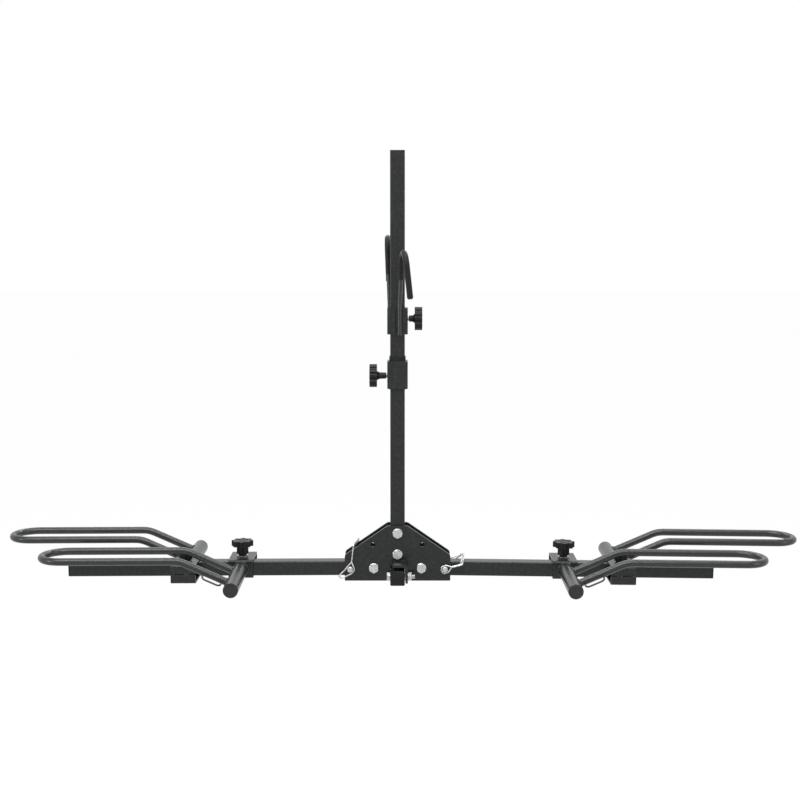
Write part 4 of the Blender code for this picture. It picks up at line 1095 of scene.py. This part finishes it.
# Clamp knobs
# Black plastic knobs moulded on a long zinc plated stud. The inner ones have a wide lobed grip over
# their fluted hub, and the outer ones are a low fluted hub alone. A washer lies under each.
STUD_PAST_NUT = 0.002
STUD_LENGTH = 2 * CLAMP_OUTER + FIT + WELD_NUT + STUD_PAST_NUT
THREAD_TOP = 0.002
STUD_TOP = 0.0026
seat = Vector((0, -STUD_OFFSET, CLAMP_OUTER + FIT))
inner_knob = fluted(0.013, 0.0052, 0.0240, flutes=6, flute=0.0042, bite=0.002, rim=0.0008)
grip = fluted(0.024, 0.0227, 0.0352, flutes=8, flute=0.0075, bite=0.0045, rim=0.0014)
dish = turned([(0.0135, 0.0344), (0.0142, 0.0362)])
combine(grip, dish)
boss = turned([(0.0075, 0.0330), (0.0075, 0.0350), (0.0065, 0.0351)])
combine(grip, boss, "UNION")
combine(inner_knob, grip, "UNION")
foot = turned([(0.009, 0.0016), (0.009, 0.0062)])
combine(inner_knob, foot, "UNION")
outer_knob = fluted(0.0145, 0.0030, 0.0215, flutes=8, flute=0.0042, bite=0.002, rim=0.0012)
dish = turned([(0.0092, 0.0207), (0.0100, 0.0225)])
combine(outer_knob, dish)
foot = turned([(0.010, 0.0016), (0.010, 0.0040)])
combine(outer_knob, foot, "UNION")
stud_tip = [(PIN - THREAD_DEPTH, -STUD_LENGTH), (PIN, THREAD_DEPTH - STUD_LENGTH)]
stud_thread = thread(PIN, THREAD_DEPTH - STUD_LENGTH, THREAD_TOP)
stud = turned(stud_tip + stud_thread + [(PIN, STUD_TOP)], 24)
washer = turned([(0.0122, 0), (0.0126, 0.0003), (0.0126, 0.0012), (0.0121, 0.0015)])
combine(washer, drum((0, 0, -0.01), (0, 0, 0.01), PIN + FIT))
for master, ending, finish, replaced, only in (
    (inner_knob, "clamp_knob_plastic", plastic, ["clamp_knob"], ["inner"]),
    (outer_knob, "clamp_knob_plastic", plastic, ["clamp_knob"], ["outer"]),
    (stud, "clamp_knob_stud", zinc, [], ["inner", "outer"]),
    (washer, "clamp_knob_washer", zinc, [], ["inner", "outer"]),
):
    master.data.transform(Matrix.Translation(seat))
    share_out(master, ending, finish, replaced, "clamp_knob", only)

# Cross tubes
# Round steel tubes welded square to the clamps, with a bead of weld round the root and a plastic
# disc cap pressed into the open end.
CROSS_TUBE_END = 0.199
CROSS_TUBE_WALL = 0.002
CROSS_TUBE_EDGE = 0.0003
CROSS_TUBE_FLOOR = 0.001  # what closes its welded end
ROOT_WELD = 0.0021
ROOT_WELD_OUT = 0.0006  # of its middle from the tube
ROOT_WELD_UP = 0.0012  # of its middle from the clamp
PRESS_FIT = 0.0003
root = CLAMP_OUTER + FIT
outer = TUBE / 2
inner = outer - CROSS_TUBE_WALL
tube_profile = [
    (outer, root),
    (outer, CROSS_TUBE_END - CROSS_TUBE_EDGE),
    (outer - CROSS_TUBE_EDGE, CROSS_TUBE_END),
    (inner + CROSS_TUBE_EDGE, CROSS_TUBE_END),
    (inner, CROSS_TUBE_END - CROSS_TUBE_EDGE),
    (inner, root + CROSS_TUBE_FLOOR),
]
cross_tube = standing(turned(tube_profile, 64), (0, 0, 0), Y)
circle = [2 * math.pi * n / 160 for n in range(160)]
reach = outer + ROOT_WELD_OUT
weld_y = root + ROOT_WELD_UP
ring = [(reach * math.cos(turn), weld_y, reach * math.sin(turn)) for turn in circle]
weld_bead(cross_tube, ring, ROOT_WELD)
share_out(cross_tube, "cross_tube_steel", satin_black, ["cross_tube"])
end = CROSS_TUBE_END + FIT
plug = inner - PRESS_FIT
cap_profile = [
    (plug - 0.0018, end - CAP_PLUG),
    (plug, end - CAP_PLUG + 0.0006),
    (plug, end),
    (outer - 0.0003, end),
    (outer, end + 0.0003),
    (outer, end + CAP - 0.0012),
    (outer - 0.0004, end + CAP - 0.0004),
    (outer - 0.0014, end + CAP),
]
cap = standing(turned(cap_profile, 64), (0, 0, 0), Y)
cap_plastic = moulded_plastic(
    "greyed_black_plastic", (0.0120, 0.0124, 0.0126), (0.0200, 0.0205, 0.0210), 0.34
)
share_out(cap, "cross_tube_end_cap", cap_plastic, ["cross_tube_cap"])

# Wheel hoops
# Round rods bent into a hoop that cradles a wheel and welded across the cross tube. A thin wire loop
# welded beside the far rod takes the wheel's strap.
HOOP_ROD = 0.008
HOOP_MIDDLE = 0.10475
HOOP_HALF_WIDTH = 0.04875
HOOP_HEIGHT = 0.0506
HOOP_RISE = 0.112
HOOP_BEND = 0.060
HOOP_REACH = 0.412
HOOP_WELD = 0.0019
HOOP_WELD_OUT = 0.0006  # of its middle from the cross tube
HOOP_WELD_ROUND = 0.0004  # of its middle from the rod
LOOP_WIRE = 0.002
LOOP_START = 0.024
LOOP_END = 0.062
LOOP_OUT = 0.025
LOOP_DROOP = math.radians(20)
LOOP_BEND = 0.008
near = HOOP_MIDDLE - HOOP_HALF_WIDTH
far = HOOP_MIDDLE + HOOP_HALF_WIDTH
path = [
    (0, near, 0),
    (HOOP_RISE, near, HOOP_HEIGHT),
    (HOOP_REACH, near, HOOP_HEIGHT),
    (HOOP_REACH, far, HOOP_HEIGHT),
    (HOOP_RISE, far, HOOP_HEIGHT),
    (0, far, 0),
]
hoop = round_rod(path, HOOP_ROD, [HOOP_BEND, HOOP_HALF_WIDTH, HOOP_HALF_WIDTH, HOOP_BEND], 24)
slope = HOOP_HEIGHT / HOOP_RISE
droop = LOOP_OUT * math.sin(LOOP_DROOP)
out = far + LOOP_OUT * math.cos(LOOP_DROOP)
loop_path = [
    (LOOP_START, far, LOOP_START * slope),
    (LOOP_START, out, LOOP_START * slope - droop),
    (LOOP_END, out, LOOP_END * slope - droop),
    (LOOP_END, far, LOOP_END * slope),
]
combine(hoop, round_rod(loop_path, LOOP_WIRE, LOOP_BEND, 12), "UNION")
root = TUBE / 2 + FIT
combine(hoop, drum((0, near - TUBE, 0), (0, far + TUBE, 0), root, 96))
climb = Vector((HOOP_RISE, 0, HOOP_HEIGHT)).normalized()
aside = climb.cross(Y)
for y in (near, far):
    saddle = []
    for turn in circle:
        rise = HOOP_ROD * math.sin(turn)
        run = math.sqrt(root**2 - rise**2) + HOOP_WELD_OUT
        weld_y = y + (HOOP_ROD + HOOP_WELD_ROUND) * math.cos(turn)
        saddle.append(run * climb + weld_y * Y + rise * 1.05 * aside)
    weld_bead(hoop, saddle, HOOP_WELD)
share_out(hoop, "wheel_hoop_rod", satin_black, ["wheel_hoop"])

# Studio
# The white sweep that the rack is shown on, with soft light from all round and a long lens that
# looks slightly down.
scene = bpy.context.scene
scene.view_settings.view_transform = "Standard"


def seen_directly(wiring):
    """1 for rays from the camera, from a mirror or through glass, and 0 for other light."""
    seen = wiring.node("ShaderNodeLightPath", output="Is Camera Ray")
    for kind in ("Is Glossy Ray", "Is Transmission Ray"):
        seen = seen.math("MAXIMUM", seen, wiring.node("ShaderNodeLightPath", output=kind))
    return seen


SKY_LIGHT = 0.38  # how bright the sky is for light that isn't seen directly
sky = bpy.data.worlds.new("white_studio")
scene.world = sky
sky.use_nodes = True
air = Wiring(sky.node_tree)
level = air.node(
    "ShaderNodeMapRange", values={"Value": seen_directly(air), "To Min": SKY_LIGHT, "To Max": 1.0}
)
air.feed(air.tree.nodes["Background"], {"Color": (1, 1, 1), "Strength": level})

FLOOR_Z = -0.45
FLOOR_WHITE = (0.97, 0.97, 0.97)
FLOOR_GLOW = 0.98  # how far the floor is lit from within where it is seen directly
floor = plain(bpy.ops.mesh.primitive_plane_add, size=40, location=(0, 8, FLOOR_Z))
floor.name = "studio_floor"
white = bpy.data.materials.new("white_floor")
white.use_nodes = True
sweep = Wiring(white.node_tree)
sweep.tree.nodes.remove(sweep.tree.nodes["Principled BSDF"])
paint = sweep.node("ShaderNodeBsdfDiffuse", values={"Color": FLOOR_WHITE})
glow = sweep.node("ShaderNodeEmission")
blend = sweep.node("ShaderNodeMixShader", values={0: FLOOR_GLOW * seen_directly(sweep), 1: paint, 2: glow})
sweep.feed(sweep.tree.nodes["Material Output"], {"Surface": blend})
floor.data.materials.append(white)

LAMPS_AIM = Vector((0, -0.3, 0.3))
for name, place, width, depth, power in (
    ("top_box", (0.0, -0.7, 3.0), 3.2, 0.8, 46),
    ("front_box", (-0.5, -2.5, 2.7), 3.4, 0.7, 78),
    ("back_box", (0.3, 1.7, 2.3), 3.4, 0.6, 40),
    ("left_box", (-3.1, -2.0, 0.9), 0.7, 1.2, 22),
    ("right_box", (3.1, -2.0, 0.9), 0.7, 1.2, 14),
):
    lamp = bpy.data.lights.new(name, "AREA")
    lamp.shape = "RECTANGLE"
    lamp.size = width
    lamp.size_y = depth
    lamp.energy = power
    stand = bpy.data.objects.new(name, lamp)
    stand.location = place
    stand.rotation_euler = (LAMPS_AIM - stand.location).to_track_quat("-Z", "Y").to_euler()
    scene.collection.objects.link(stand)

LOOKS_DOWN = 6.83  # degrees
lens = bpy.data.cameras.new("camera")
lens.sensor_width = 36
lens.lens = 60.108
camera = bpy.data.objects.new("camera", lens)
camera.location = (0.00538, -3.2517, 0.7444)
camera.rotation_euler = (math.radians(90 - LOOKS_DOWN), 0, 0)
scene.collection.objects.link(camera)
scene.camera = camera
